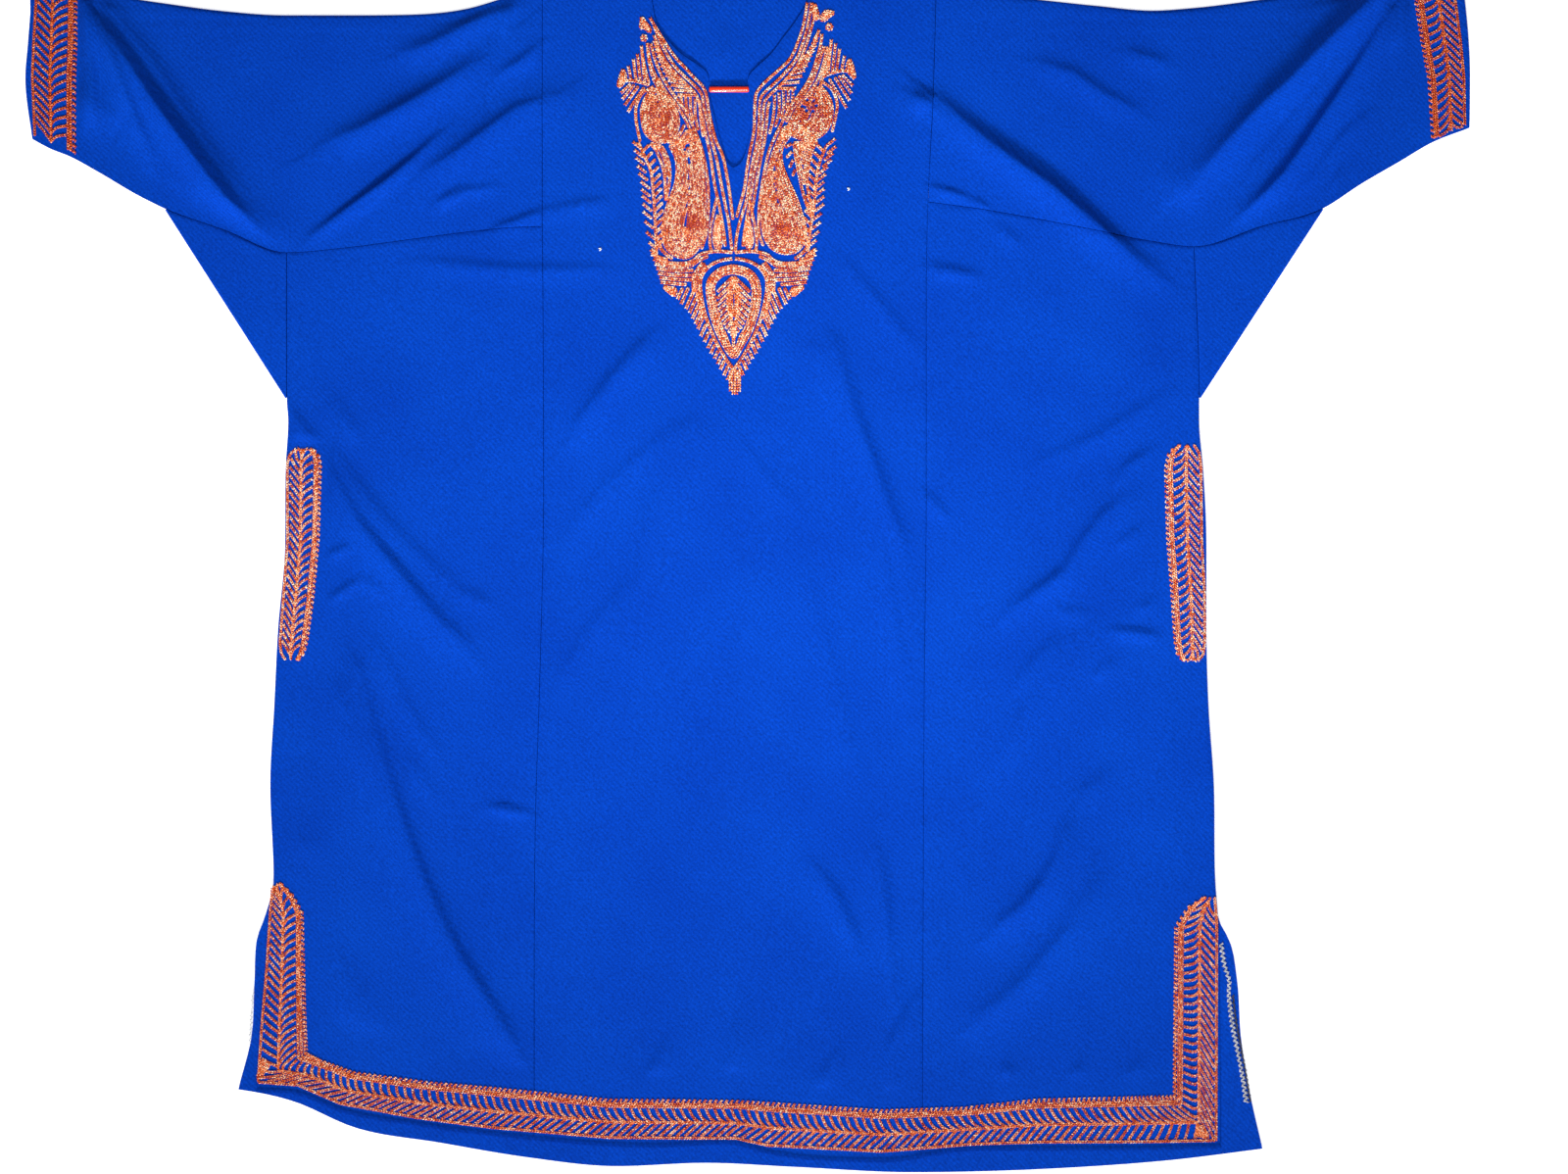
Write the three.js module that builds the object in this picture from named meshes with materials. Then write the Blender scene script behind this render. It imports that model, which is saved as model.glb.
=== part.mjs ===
import * as THREE from 'three'

// A pheran, the loose overgarment of Kashmir, laid flat on its back with its front up.
// Millimetres. In the drawing x runs to the viewer's right from the centre front, y runs from the
// hem to the neck, and z runs up from the surface that the garment lies on. Left and right are the
// viewer's.

// The cloth, the stitching on it, and how the layers lie
const CLOTH = 1.2
const GAP = 0.3
const STITCH = 0.9
const BACK_Z = 0
const FRONT_Z = BACK_Z + CLOTH + GAP
const STITCH_Z = FRONT_Z + CLOTH + GAP

// How closely the front, with its folds, and the flat back are divided
const FRONT_CELL = 20
const BACK_CELL = 46

// Seams beside the centre panel, and the side edges of the front and the back. The side seams end
// at the vents, 220 above the hem, and below them the back is the wider layer.
const CENTRE_SEAMS = [
  { y: 0, left: -150, right: 140 },
  { y: 144, left: -150, right: 140.5 },
  { y: 268, left: -149, right: 141 },
  { y: 364, left: -146, right: 141.5 },
  { y: 510, left: -143, right: 143 },
  { y: 657, left: -143.5, right: 143 },
  { y: 730, left: -144, right: 144.5 },
  { y: 803, left: -144, right: 148 },
  { y: 910, left: -144, right: 151 },
]
const FRONT_SIDES = [
  { y: 18, left: -359, right: 363 },
  { y: 100, left: -355, right: 362.5 },
  { y: 184, left: -348, right: 361.5 },
  { y: 220, left: -345, right: 359 },
  { y: 290, left: -347.5, right: 358 },
  { y: 349, left: -344.5, right: 354 },
  { y: 408, left: -341.5, right: 352.5 },
  { y: 466, left: -336.5, right: 352.5 },
  { y: 525, left: -336, right: 350 },
  { y: 562, left: -334, right: 347 },
  { y: 577, left: -335, right: 347 },
  { y: 692, left: -335, right: 343 },
]
const BACK_SIDES = [
  { y: 18, left: -380, right: 394.5 },
  { y: 60, left: -372, right: 385 },
  { y: 100, left: -362, right: 378.5 },
  { y: 144, left: -359.5, right: 375.5 },
  { y: 173, left: -358, right: 370 },
  { y: 190, left: -352, right: 361.5 },
  ...FRONT_SIDES.slice(3),
]

// Hems, along their width
const FRONT_HEM = [
  { x: -359, y: 62 },
  { x: -327, y: 60 },
  { x: -295, y: 47.5 },
  { x: -239, y: 37 },
  { x: -164, y: 27.5 },
  { x: -62, y: 20.5 },
  { x: -5, y: 23 },
  { x: 24, y: 16 },
  { x: 110, y: 9.5 },
  { x: 177, y: 18 },
  { x: 300, y: 18.5 },
  { x: 363, y: 20 },
]
const BACK_HEM = [
  { x: -372, y: 62 },
  { x: -330, y: 53 },
  { x: -286, y: 34 },
  { x: -220, y: 22 },
  { x: -154, y: 11 },
  { x: -88, y: 4.5 },
  { x: -22, y: 7 },
  { x: 44, y: 4 },
  { x: 132, y: 0 },
  { x: 242, y: 3 },
  { x: 330, y: 9.5 },
  { x: 394, y: 17.5 },
]

// Sleeves, from the centre panel's seam out to the cuff: the fold along the top, and the lower seam
const LEFT_SLEEVE = [
  { x: -144, top: 886, bottom: 707 },
  { x: -169, top: 879, bottom: 706 },
  { x: -200, top: 870, bottom: 703 },
  { x: -242, top: 865.5, bottom: 697.5 },
  { x: -292, top: 865, bottom: 691 },
  { x: -335, top: 865, bottom: 687.5 },
  { x: -381, top: 868, bottom: 704.25 },
  { x: -427, top: 874, bottom: 721 },
  { x: -447, top: 877, bottom: 731 },
  { x: -476, top: 883, bottom: 748 },
  { x: -498, top: 888, bottom: 760 },
  { x: -512, top: 892, bottom: 765.5 },
  { x: -526, top: 896, bottom: 773 },
]
const RIGHT_SLEEVE = [
  { x: 144, top: 886, bottom: 725.5 },
  { x: 187, top: 881, bottom: 719.5 },
  { x: 224, top: 877, bottom: 713 },
  { x: 271, top: 872, bottom: 703.5 },
  { x: 312, top: 868.5, bottom: 696 },
  { x: 343, top: 870.5, bottom: 692 },
  { x: 392, top: 876.5, bottom: 706.75 },
  { x: 441, top: 883, bottom: 721.5 },
  { x: 468, top: 887, bottom: 739 },
  { x: 498, top: 891.5, bottom: 756.5 },
  { x: 520, top: 895, bottom: 769.5 },
  { x: 549, top: 899.5, bottom: 781 },
]
const CUFF_EDGES = [
  { y: 770, left: -525, right: 549 },
  { y: 818, left: -530.5, right: 549.5 },
  { y: 845, left: -528.5, right: 548.5 },
  { y: 877, left: -526.5, right: 545.5 },
  { y: 900, left: -528, right: 542.5 },
]

// Gussets: a square folded on its diagonal under each arm, from the sleeve's lower edge to the side
const LEFT_GUSSET = { sleeve: [-427, 721], armpit: [-335, 687.5], side: [-335, 577] }
const RIGHT_GUSSET = { sleeve: [441, 721.5], armpit: [343, 692], side: [347, 577] }
const GUSSET_TIP = 0.035

// The front opening: a wide V at the neck that runs into a narrow slit with a rounded end
const SLIT_END = { x: -1, y: 751 }
const NECK = [
  { y: 755.5, left: -6, right: 5 },
  { y: 768, left: -10, right: 9.5 },
  { y: 786, left: -14.7, right: 11.8 },
  { y: 806, left: -19.6, right: 11 },
  { y: 820, left: -19.6, right: 9 },
  { y: 825, left: -24, right: 15 },
  { y: 836, left: -40, right: 27 },
  { y: 848, left: -51.5, right: 36 },
  { y: 860, left: -59, right: 45 },
  { y: 877, left: -62.5, right: 55 },
  { y: 907, left: -67, right: 66 },
]
const SHOULDER_END_Y = 886
const BACK_NECK_DEPTH = 14

// A small bar across the top of the slit, lying between its two edges
const BAR = { y: 809.4, left: -19.3, right: 10.4, width: 4.3, height: 3 }

// The largest folds of the front. Each line runs from left to right along a crest; the slope on its
// neck side is as wide as steep says, and the slope on its hem side as wide as soft says.
const FOLDS = [
  { line: [[-478, 850], [-425, 784], [-366, 712]], rise: 5.5, steep: 14, soft: 24 },
  { line: [[-264, 712], [-198, 748], [-112, 793]], rise: 4, steep: 22, soft: 27 },
  { line: [[-292, 754], [-213, 805], [-150, 846]], rise: 3, steep: 18, soft: 25 },
  { line: [[-312, 540], [-262, 456], [-203, 385]], rise: 5.5, steep: 14, soft: 24 },
  { line: [[-293, 375], [-264, 287], [-220, 184], [-180, 112]], rise: 5, steep: 14, soft: 26 },
  { line: [[-318, 240], [-300, 160], [-262, 100]], rise: 3, steep: 20, soft: 24 },
  { line: [[-93, 350], [-70, 465], [-30, 560]], rise: 3, steep: 18, soft: 26 },
  { line: [[-119, 540], [-64, 610]], rise: 2.5, steep: 14, soft: 18 },
  { line: [[69, 605], [96, 543], [122, 463], [134, 385]], rise: 3.5, steep: 14, soft: 22 },
  { line: [[146, 789], [214, 749], [262, 711], [296, 679]], rise: 6, steep: 14, soft: 28 },
  { line: [[361, 751], [397, 794], [434, 823], [476, 852]], rise: 6, steep: 20, soft: 20 },
  { line: [[398, 718], [424, 755], [461, 806], [488, 842]], rise: 4, steep: 14, soft: 18 },
  { line: [[211, 417], [255, 446], [277, 483], [302, 520]], rise: 3.5, steep: 14, soft: 18 },
  { line: [[204, 183], [244, 227], [262, 268]], rise: 5, steep: 14, soft: 20 },
  { line: [[190, 109], [234, 161], [267, 208]], rise: 4, steep: 14, soft: 20 },
  { line: [[196, 300], [222, 365], [255, 400]], rise: 3, steep: 16, soft: 20 },
  { line: [[70, 220], [97, 145]], rise: 2.5, steep: 14, soft: 18 },
  { line: [[102, 240], [112, 170], [126, 110]], rise: 3, steep: 14, soft: 18 },
]

// Places that the stitching keeps flat. The cloth stays flat for HELD beyond them, and its folds
// have their full height again at EASE_IN.
const STIFFENED = [
  { x: [-92, 92], y: [700, 910] },
  { x: [-62, 62], y: [636, 700] },
  { x: [-26, 26], y: [578, 636] },
  { x: [-345, -306], y: [380, 544] },
  { x: [318, 356], y: [380, 546] },
  { x: [-360, -318], y: [0, 222] },
  { x: [326, 364], y: [0, 210] },
  { x: [-532, -488], y: [760, 900] },
  { x: [502, 552], y: [760, 900] },
]
const HEM_BAND_DEPTH = 50
const HELD = FRONT_CELL
const EASE_IN = 2 * FRONT_CELL

// Stitched bands. Each row is one place along the band: its two edges there.
const HEM_BAND = [
  { outer: [-346, 213], inner: [-340, 217] },
  { outer: [-347, 204], inner: [-330, 207] },
  { outer: [-348, 194], inner: [-323, 194] },
  { outer: [-351, 150], inner: [-322, 150] },
  { outer: [-355, 105], inner: [-321, 112] },
  { outer: [-357.5, 67], inner: [-320, 89] },
  { outer: [-327, 65], inner: [-310, 84] },
  { outer: [-295, 51], inner: [-285, 75] },
  { outer: [-239, 40.5], inner: [-229, 67.5] },
  { outer: [-183, 33], inner: [-178, 63] },
  { outer: [-95, 25.5], inner: [-95, 54.5] },
  { outer: [-40, 25], inner: [-40, 54] },
  { outer: [0, 25], inner: [2, 53.5] },
  { outer: [24, 19.5], inner: [26, 52] },
  { outer: [110, 15], inner: [110, 46.5] },
  { outer: [177, 20.5], inner: [172, 48.5] },
  { outer: [230, 22], inner: [225, 54.5] },
  { outer: [300, 22], inner: [290, 56] },
  { outer: [360.5, 23], inner: [328, 57] },
  { outer: [361, 184], inner: [329, 184] },
  { outer: [360, 196], inner: [338, 198] },
  { outer: [358.5, 206], inner: [351, 206] },
]
const LEFT_POCKET_BAND = [
  { outer: [-328, 541], inner: [-316, 541] },
  { outer: [-333, 537], inner: [-311, 537] },
  { outer: [-335.3, 530], inner: [-309.3, 530] },
  { outer: [-335, 473], inner: [-311, 473] },
  { outer: [-338, 430], inner: [-315, 430] },
  { outer: [-340.5, 397], inner: [-319.5, 397] },
  { outer: [-339.5, 388], inner: [-322, 388] },
  { outer: [-336, 383], inner: [-326, 383] },
]
const RIGHT_POCKET_BAND = [
  { outer: [343, 544], inner: [331, 544] },
  { outer: [347.5, 538], inner: [324, 538] },
  { outer: [349, 527], inner: [321.5, 527] },
  { outer: [349.5, 473], inner: [323, 473] },
  { outer: [351.5, 435], inner: [326, 435] },
  { outer: [351.8, 397], inner: [328.5, 397] },
  { outer: [350.5, 387], inner: [330.5, 387] },
  { outer: [346, 382.5], inner: [335, 382.5] },
]
const LEFT_CUFF_BAND = [
  { outer: [-524, 777], inner: [-493, 768] },
  { outer: [-526, 818], inner: [-493, 818] },
  { outer: [-525, 845], inner: [-492, 845] },
  { outer: [-523, 877], inner: [-492, 877] },
  { outer: [-524, 890], inner: [-494, 886] },
]
const RIGHT_CUFF_BAND = [
  { outer: [546, 785], inner: [521, 776] },
  { outer: [545.5, 818], inner: [518, 818] },
  { outer: [543, 845], inner: [513, 845] },
  { outer: [539, 877], inner: [508, 877] },
  { outer: [537, 892], inner: [506, 888] },
]

// The stitched yoke: its outer edges, and its inner edges along the neck and the slit
const YOKE_POINT = { x: -0.5, y: 712 }
const YOKE_LEGS = [
  { y: 722, outerLeft: -67, left: -3.5, right: 2.5, outerRight: 65 },
  { y: 745, outerLeft: -71, left: -9, right: 9.5, outerRight: 68 },
  { y: 768, outerLeft: -75, left: -15, right: 14.5, outerRight: 71 },
  { y: 786, outerLeft: -76, left: -18.5, right: 15.5, outerRight: 74 },
  { y: 806, outerLeft: -82, left: -22, right: 16, outerRight: 84 },
  { y: 820, outerLeft: -84, left: -31, right: 30, outerRight: 88 },
  { y: 832, outerLeft: -81, left: -43, right: 40.5, outerRight: 88 },
  { y: 845, outerLeft: -70, left: -53, right: 47, outerRight: 78 },
  { y: 862, outerLeft: -69, left: -63, right: 53, outerRight: 70 },
]
const YOKE_TIP = [
  { y: 582, left: -3.5, right: 4 },
  { y: 594, left: -5.5, right: 5.5 },
  { y: 602, left: -12, right: 9 },
  { y: 625, left: -24, right: 21 },
  { y: 645, left: -36, right: 35 },
  { y: 660, left: -52, right: 47 },
  { y: 690, left: -57, right: 59 },
  { y: 712, left: -63, right: 63 },
]

// Materials
const cloth = new THREE.MeshStandardMaterial({ color: 0x0a50d0, roughness: 0.85, metalness: 0 })
const tilla = new THREE.MeshStandardMaterial({ color: 0xcf7a55, roughness: 0.4, metalness: 0.7 })
const redBar = new THREE.MeshStandardMaterial({ color: 0xf03a12, roughness: 0.3, metalness: 0 })

const { lerp, smoothstep } = THREE.MathUtils

// The value in one column of a table, read off at any place along another column
function readOff(rows, along, column) {
  const ordered = [...rows].sort((a, b) => a[along] - b[along])
  return (place) => {
    const next = ordered.findIndex((row) => row[along] >= place)
    if (next === 0) return ordered[0][column]
    if (next < 0) return ordered.at(-1)[column]
    const before = ordered[next - 1]
    const part = (place - before[along]) / (ordered[next][along] - before[along])
    return lerp(before[column], ordered[next][column], part)
  }
}

// Even steps from 0 to 1, with a step at each place in stops
function steps(length, cell, stops = []) {
  const ends = [0, ...stops, 1]
  const marks = [0]
  for (let span = 1; span < ends.length; span++) {
    const from = ends[span - 1]
    const count = Math.max(1, Math.round(((ends[span] - from) * length) / cell))
    for (let step = 1; step <= count; step++) marks.push(lerp(from, ends[span], step / count))
  }
  return marks
}

// How far a place lies outside a box, 0 inside it
function distanceOutside(x, y, box) {
  const dx = Math.max(box.x[0] - x, 0, x - box.x[1])
  const dy = Math.max(box.y[0] - y, 0, y - box.y[1])
  return Math.hypot(dx, dy)
}

// The rise of one fold at a place: highest along the middle of its line, lower at its ends
function foldRise(x, y, fold) {
  let nearest = { distance: Infinity }
  const spans = fold.line.length - 1
  for (let span = 0; span < spans; span++) {
    const [ax, ay] = fold.line[span]
    const [bx, by] = fold.line[span + 1]
    const lengthSquared = (bx - ax) ** 2 + (by - ay) ** 2
    const along = ((x - ax) * (bx - ax) + (y - ay) * (by - ay)) / lengthSquared
    const part = THREE.MathUtils.clamp(along, 0, 1)
    const distance = Math.hypot(x - lerp(ax, bx, part), y - lerp(ay, by, part))
    const neckSide = (bx - ax) * (y - ay) - (by - ay) * (x - ax) > 0
    if (distance < nearest.distance) nearest = { distance, neckSide, along: (span + part) / spans }
  }
  const width = nearest.neckSide ? fold.steep : fold.soft
  const swell = Math.sin(Math.PI * lerp(0.12, 0.88, nearest.along))
  return fold.rise * swell * Math.exp(-((nearest.distance / width) ** 2))
}

const frontHem = readOff(FRONT_HEM, 'x', 'y')
const frontLeftSide = readOff(FRONT_SIDES, 'y', 'left')
const frontRightSide = readOff(FRONT_SIDES, 'y', 'right')

// How high the front's cloth lies above its lowest place
function relief(x, y) {
  let ease = 1
  for (const box of STIFFENED) ease *= smoothstep(distanceOutside(x, y, box), HELD, EASE_IN)
  ease *= smoothstep(y - frontHem(x) - HEM_BAND_DEPTH, HELD, EASE_IN)
  if (y < LEFT_GUSSET.armpit[1]) {
    ease *= smoothstep(x - frontLeftSide(y), 0, EASE_IN) * smoothstep(frontRightSide(y) - x, 0, EASE_IN)
  }
  return ease * FOLDS.reduce((sum, fold) => sum + foldRise(x, y, fold), 0)
}

// A closed wall between two layers of points. Each patch is a grid of pairs { outer, inner };
// patches that share points are joined there, and the open edges are closed by a rim.
function wall(name, material, patches) {
  const positions = []
  const pairs = new Map()
  const pairIndex = ({ outer, inner }) => {
    const key = outer.map((value) => value.toFixed(2)).join(' ')
    if (!pairs.has(key)) {
      pairs.set(key, pairs.size)
      positions.push(...outer, ...inner)
    }
    return pairs.get(key)
  }
  const faces = []
  for (const grid of patches) {
    for (let row = 1; row < grid.length; row++) {
      for (let col = 1; col < grid[row].length; col++) {
        const corners = [grid[row - 1][col - 1], grid[row - 1][col], grid[row][col], grid[row][col - 1]]
        const [a, b, c, d] = corners.map(pairIndex)
        for (const face of [[a, b, c], [a, c, d]]) if (new Set(face).size === 3) faces.push(face)
      }
    }
  }
  const edges = new Set(faces.flatMap(([a, b, c]) => [`${a} ${b}`, `${b} ${c}`, `${c} ${a}`]))
  const index = []
  for (const [a, b, c] of faces) {
    index.push(2 * a, 2 * b, 2 * c)
    index.push(2 * c + 1, 2 * b + 1, 2 * a + 1)
    for (const [from, to] of [[a, b], [b, c], [c, a]]) {
      if (edges.has(`${to} ${from}`)) continue
      index.push(2 * to, 2 * from, 2 * from + 1)
      index.push(2 * to, 2 * from + 1, 2 * to + 1)
    }
  }
  const geometry = new THREE.BufferGeometry()
  geometry.setAttribute('position', new THREE.Float32BufferAttribute(positions, 3))
  geometry.setIndex(index)
  geometry.computeVertexNormals()
  const mesh = new THREE.Mesh(geometry, material)
  mesh.name = name
  return mesh
}

// A pair of points through the thickness of a layer that lies at z
function layer(x, y, z, thickness = CLOTH) {
  return { outer: [x, y, z + thickness], inner: [x, y, z] }
}

// A grid of places between four edges: left and right give x from y, bottom and top give y from x
function between({ left, right, bottom, top }, across, up) {
  const place = (u, v) => {
    let x = lerp(left(top(0)), right(top(0)), u)
    let y = top(x)
    for (let pass = 0; pass < 12; pass++) {
      y = lerp(bottom(x), top(x), v)
      x = lerp(left(y) + GAP / 2, right(y) - GAP / 2, u)
    }
    return [x, y]
  }
  return up.map((v) => across.map((u) => place(u, v)))
}

const leftSeam = readOff(CENTRE_SEAMS, 'y', 'left')
const rightSeam = readOff(CENTRE_SEAMS, 'y', 'right')
const sleeveSeam = {
  left: readOff(LEFT_SLEEVE, 'x', 'bottom'),
  right: readOff(RIGHT_SLEEVE, 'x', 'bottom'),
}
const frontCloth = ([x, y]) => layer(x, y, FRONT_Z + relief(x, y))
const backCloth = ([x, y]) => layer(x, y, BACK_Z)

// Side panels, each a front and a back below the sleeve
const PANEL_WIDTH = 200
const PANEL_LENGTH = 650
function sidePanel(name, side, sides, hem, cell, makeCloth) {
  const outerEdge = readOff(sides, 'y', side)
  const edges = {
    left: side === 'left' ? outerEdge : rightSeam,
    right: side === 'left' ? leftSeam : outerEdge,
    bottom: readOff(hem, 'x', 'y'),
    top: (x) => sleeveSeam[side](x) - GAP / 2,
  }
  const grid = between(edges, steps(PANEL_WIDTH, FRONT_CELL), steps(PANEL_LENGTH, cell))
  return wall(name, cloth, [grid.map((row) => row.map(makeCloth))])
}

// Centre panel, front: whole below the slit, and a leg on each side of the opening
function frontCentre() {
  const below = {
    left: leftSeam,
    right: rightSeam,
    bottom: frontHem,
    top: () => SLIT_END.y,
  }
  const halves = Math.round((rightSeam(SLIT_END.y) - SLIT_END.x) / FRONT_CELL)
  const slitAt = (SLIT_END.x - leftSeam(SLIT_END.y)) / (rightSeam(SLIT_END.y) - leftSeam(SLIT_END.y))
  const across = steps(2 * halves * FRONT_CELL, FRONT_CELL, [slitAt])
  const lower = between(below, across, steps(SLIT_END.y, FRONT_CELL))
  const split = across.indexOf(slitAt)
  const base = lower.at(-1)
  const top = NECK.at(-1).y

  const leg = (side, seam, start) => {
    const rows = [start]
    for (const row of NECK) {
      const rise = (row.y - SLIT_END.y) / (top - SLIT_END.y)
      const seamY = lerp(SLIT_END.y, SHOULDER_END_Y, rise)
      const seamX = seam(seamY) + (side === 'left' ? GAP / 2 : -GAP / 2)
      rows.push(start.map((unused, col) => {
        const part = col / (start.length - 1)
        const toNeck = side === 'left' ? part : 1 - part
        return [lerp(seamX, row[side], toNeck), lerp(seamY, row.y, toNeck)]
      }))
    }
    return rows
  }
  const leftLeg = leg('left', leftSeam, base.slice(0, split + 1))
  const rightLeg = leg('right', rightSeam, base.slice(split))
  const patches = [lower, leftLeg, rightLeg].map((grid) => grid.map((row) => row.map(frontCloth)))
  return wall('front_centre', cloth, patches)
}

// Centre panel, back: longer at the hem, with a shallow neckline
function backCentre() {
  const neck = NECK.at(-1)
  const width = rightSeam(neck.y) - leftSeam(neck.y)
  const backNeck = (x) => {
    if (x < neck.left) return lerp(SHOULDER_END_Y, neck.y, (x - leftSeam(neck.y)) / (neck.left - leftSeam(neck.y)))
    if (x > neck.right) return lerp(neck.y, SHOULDER_END_Y, (x - neck.right) / (rightSeam(neck.y) - neck.right))
    const part = (x - neck.left) / (neck.right - neck.left)
    return neck.y - BACK_NECK_DEPTH * Math.sin(Math.PI * part) ** 0.6
  }
  const stops = [neck.left, neck.right].map((x) => (x - leftSeam(neck.y)) / width)
  const edges = { left: leftSeam, right: rightSeam, bottom: readOff(BACK_HEM, 'x', 'y'), top: backNeck }
  const grid = between(edges, steps(width, BACK_CELL / 2, stops), steps(neck.y, BACK_CELL))
  return wall('back_centre', cloth, [grid.map((row) => row.map(backCloth))])
}

// Round a fold from the front layer to the back one, in the plane of outward and up
const FOLD_TURNS = [30, 90, 150].map(THREE.MathUtils.degToRad)
const FOLD_OUTER = (FRONT_Z + CLOTH - BACK_Z) / 2
const FOLD_INNER = FOLD_OUTER - CLOTH
function roundFold([x, y], [outX, outY]) {
  return FOLD_TURNS.map((turn) => {
    const at = (radius) => {
      const out = radius * Math.sin(turn)
      return [x + out * outX, y + out * outY, BACK_Z + FOLD_OUTER + radius * Math.cos(turn)]
    }
    return { outer: at(FOLD_OUTER), inner: at(FOLD_INNER) }
  })
}

// A sleeve is one piece folded along its top, with its two lower edges together
function sleeve(side, table, gusset) {
  const top = readOff(table, 'x', 'top')
  const bottom = readOff(table, 'x', 'bottom')
  const cuff = readOff(CUFF_EDGES, 'y', side)
  const edges = {
    left: side === 'left' ? cuff : rightSeam,
    right: side === 'left' ? leftSeam : cuff,
    bottom: (x) => bottom(x) + GAP / 2,
    top: (x) => top(x) - FOLD_OUTER,
  }
  const ends = [edges.left(bottom(edges.left(0))), edges.right(bottom(edges.right(0)))]
  const width = ends[1] - ends[0]
  const stops = [gusset.sleeve[0], gusset.armpit[0]].map((x) => (x - ends[0]) / width)
  const across = steps(width, FRONT_CELL, stops.sort((a, b) => a - b))
  const front = between(edges, across, steps(180, FRONT_CELL))
  const back = between(edges, across, [0, 0.5, 1]).reverse()
  const flattenAtFold = ([x, y]) => {
    const ease = smoothstep(top(x) - y, FOLD_OUTER, EASE_IN) * smoothstep(y - bottom(x), 0, EASE_IN)
    const joinsBody = smoothstep(Math.abs(x), Math.abs(gusset.armpit[0]) - EASE_IN, Math.abs(gusset.armpit[0]))
    const below = y - bottom(x) < (top(x) - bottom(x)) / 2
    return layer(x, y, FRONT_Z + relief(x, y) * (below ? lerp(1, ease, joinsBody) : ease))
  }
  const folded = front.at(-1).map((place) => roundFold(place, [0, 1]))
  const turned = FOLD_TURNS.map((unused, turn) => folded.map((column) => column[turn]))
  const under = back.map((row) => row.map(([x, y]) => {
    const { outer, inner } = layer(x, y, BACK_Z)
    return { outer: inner, inner: outer }
  }))
  return wall(`sleeve_${side}`, cloth, [[...front.map((row) => row.map(flattenAtFold)), ...turned, ...under]])
}

// A gusset is a square folded on its diagonal: a triangle on the front and one on the back
function gussetPiece(side, { sleeve: sleeveEnd, armpit, side: sideEnd }) {
  const from = new THREE.Vector2(...(side === 'left' ? sideEnd : sleeveEnd))
  const to = new THREE.Vector2(...(side === 'left' ? sleeveEnd : sideEnd))
  const middle = new THREE.Vector2(...armpit)
  const along = to.clone().sub(from).normalize()
  const outward = new THREE.Vector2(along.y, -along.x)
  if (outward.dot(middle.clone().sub(from)) > 0) outward.negate()
  const inset = outward.clone().multiplyScalar(GAP)

  const seamAt = (part) => {
    const [a, b, local] = part < 0.5 ? [from, middle, part * 2] : [middle, to, part * 2 - 1]
    return a.clone().lerp(b, local).add(inset)
  }
  const foldAt = (part) => from.clone().lerp(to, part).addScaledVector(outward, -FOLD_OUTER)
  const depth = middle.clone().sub(from).dot(outward.clone().negate())
  const marks = steps(from.distanceTo(to), FRONT_CELL, [0.5])
    .map((part) => lerp(GUSSET_TIP, 1 - GUSSET_TIP, part))
  const inward = steps(depth, FRONT_CELL)
  const grid = marks.map((part) => {
    const seam = seamAt(part)
    const fold = foldAt(part)
    const front = inward.map((step) => seam.clone().lerp(fold, step))
    const under = [0, 0.5, 1].map((step) => fold.clone().lerp(seam, step))
    return [
      ...front.map((p) => layer(p.x, p.y, FRONT_Z)),
      ...roundFold([fold.x, fold.y], [outward.x, outward.y]),
      ...under.map((p) => ({ outer: [p.x, p.y, BACK_Z], inner: [p.x, p.y, BACK_Z + CLOTH] })),
    ]
  })
  return wall(`gusset_${side}`, cloth, [grid[0].map((unused, col) => grid.map((row) => row[col]))])
}

// Stitching stands on the front's cloth, where the cloth lies flat
const stitched = ([x, y]) => layer(x, y, STITCH_Z, STITCH)

function band(name, rows, clockwise) {
  const edges = clockwise ? ['outer', 'inner'] : ['inner', 'outer']
  const grid = edges.map((edge) => rows.map((row) => stitched(row[edge])))
  return wall(name, tilla, [grid])
}

function yoke() {
  const last = YOKE_TIP.length - 1
  const tip = YOKE_TIP.map(({ y, left, right }, row) => {
    const middle = row === last ? YOKE_POINT.x : (left + right) / 2
    return [[left, y], [middle, y], [right, y]].map(stitched)
  })
  const start = tip.at(-1)
  const leftLeg = YOKE_LEGS.map((row) => [[row.outerLeft, row.y], [row.left, row.y]].map(stitched))
  const rightLeg = YOKE_LEGS.map((row) => [[row.right, row.y], [row.outerRight, row.y]].map(stitched))
  return wall('embroidery_yoke', tilla, [
    tip,
    [start.slice(0, 2), ...leftLeg],
    [start.slice(1), ...rightLeg],
  ])
}

// The bar is a flattened rod with rounded ends
function neckBar() {
  const radius = BAR.width / 2
  const length = BAR.right - BAR.left
  const geometry = new THREE.CapsuleGeometry(radius, length - BAR.width, 4, 12)
  geometry.rotateZ(Math.PI / 2)
  geometry.scale(1, 1, BAR.height / BAR.width)
  const mesh = new THREE.Mesh(geometry, redBar)
  mesh.name = 'neck_bar'
  mesh.position.set((BAR.left + BAR.right) / 2, BAR.y, FRONT_Z + BAR.height / 2)
  return mesh
}

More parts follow.
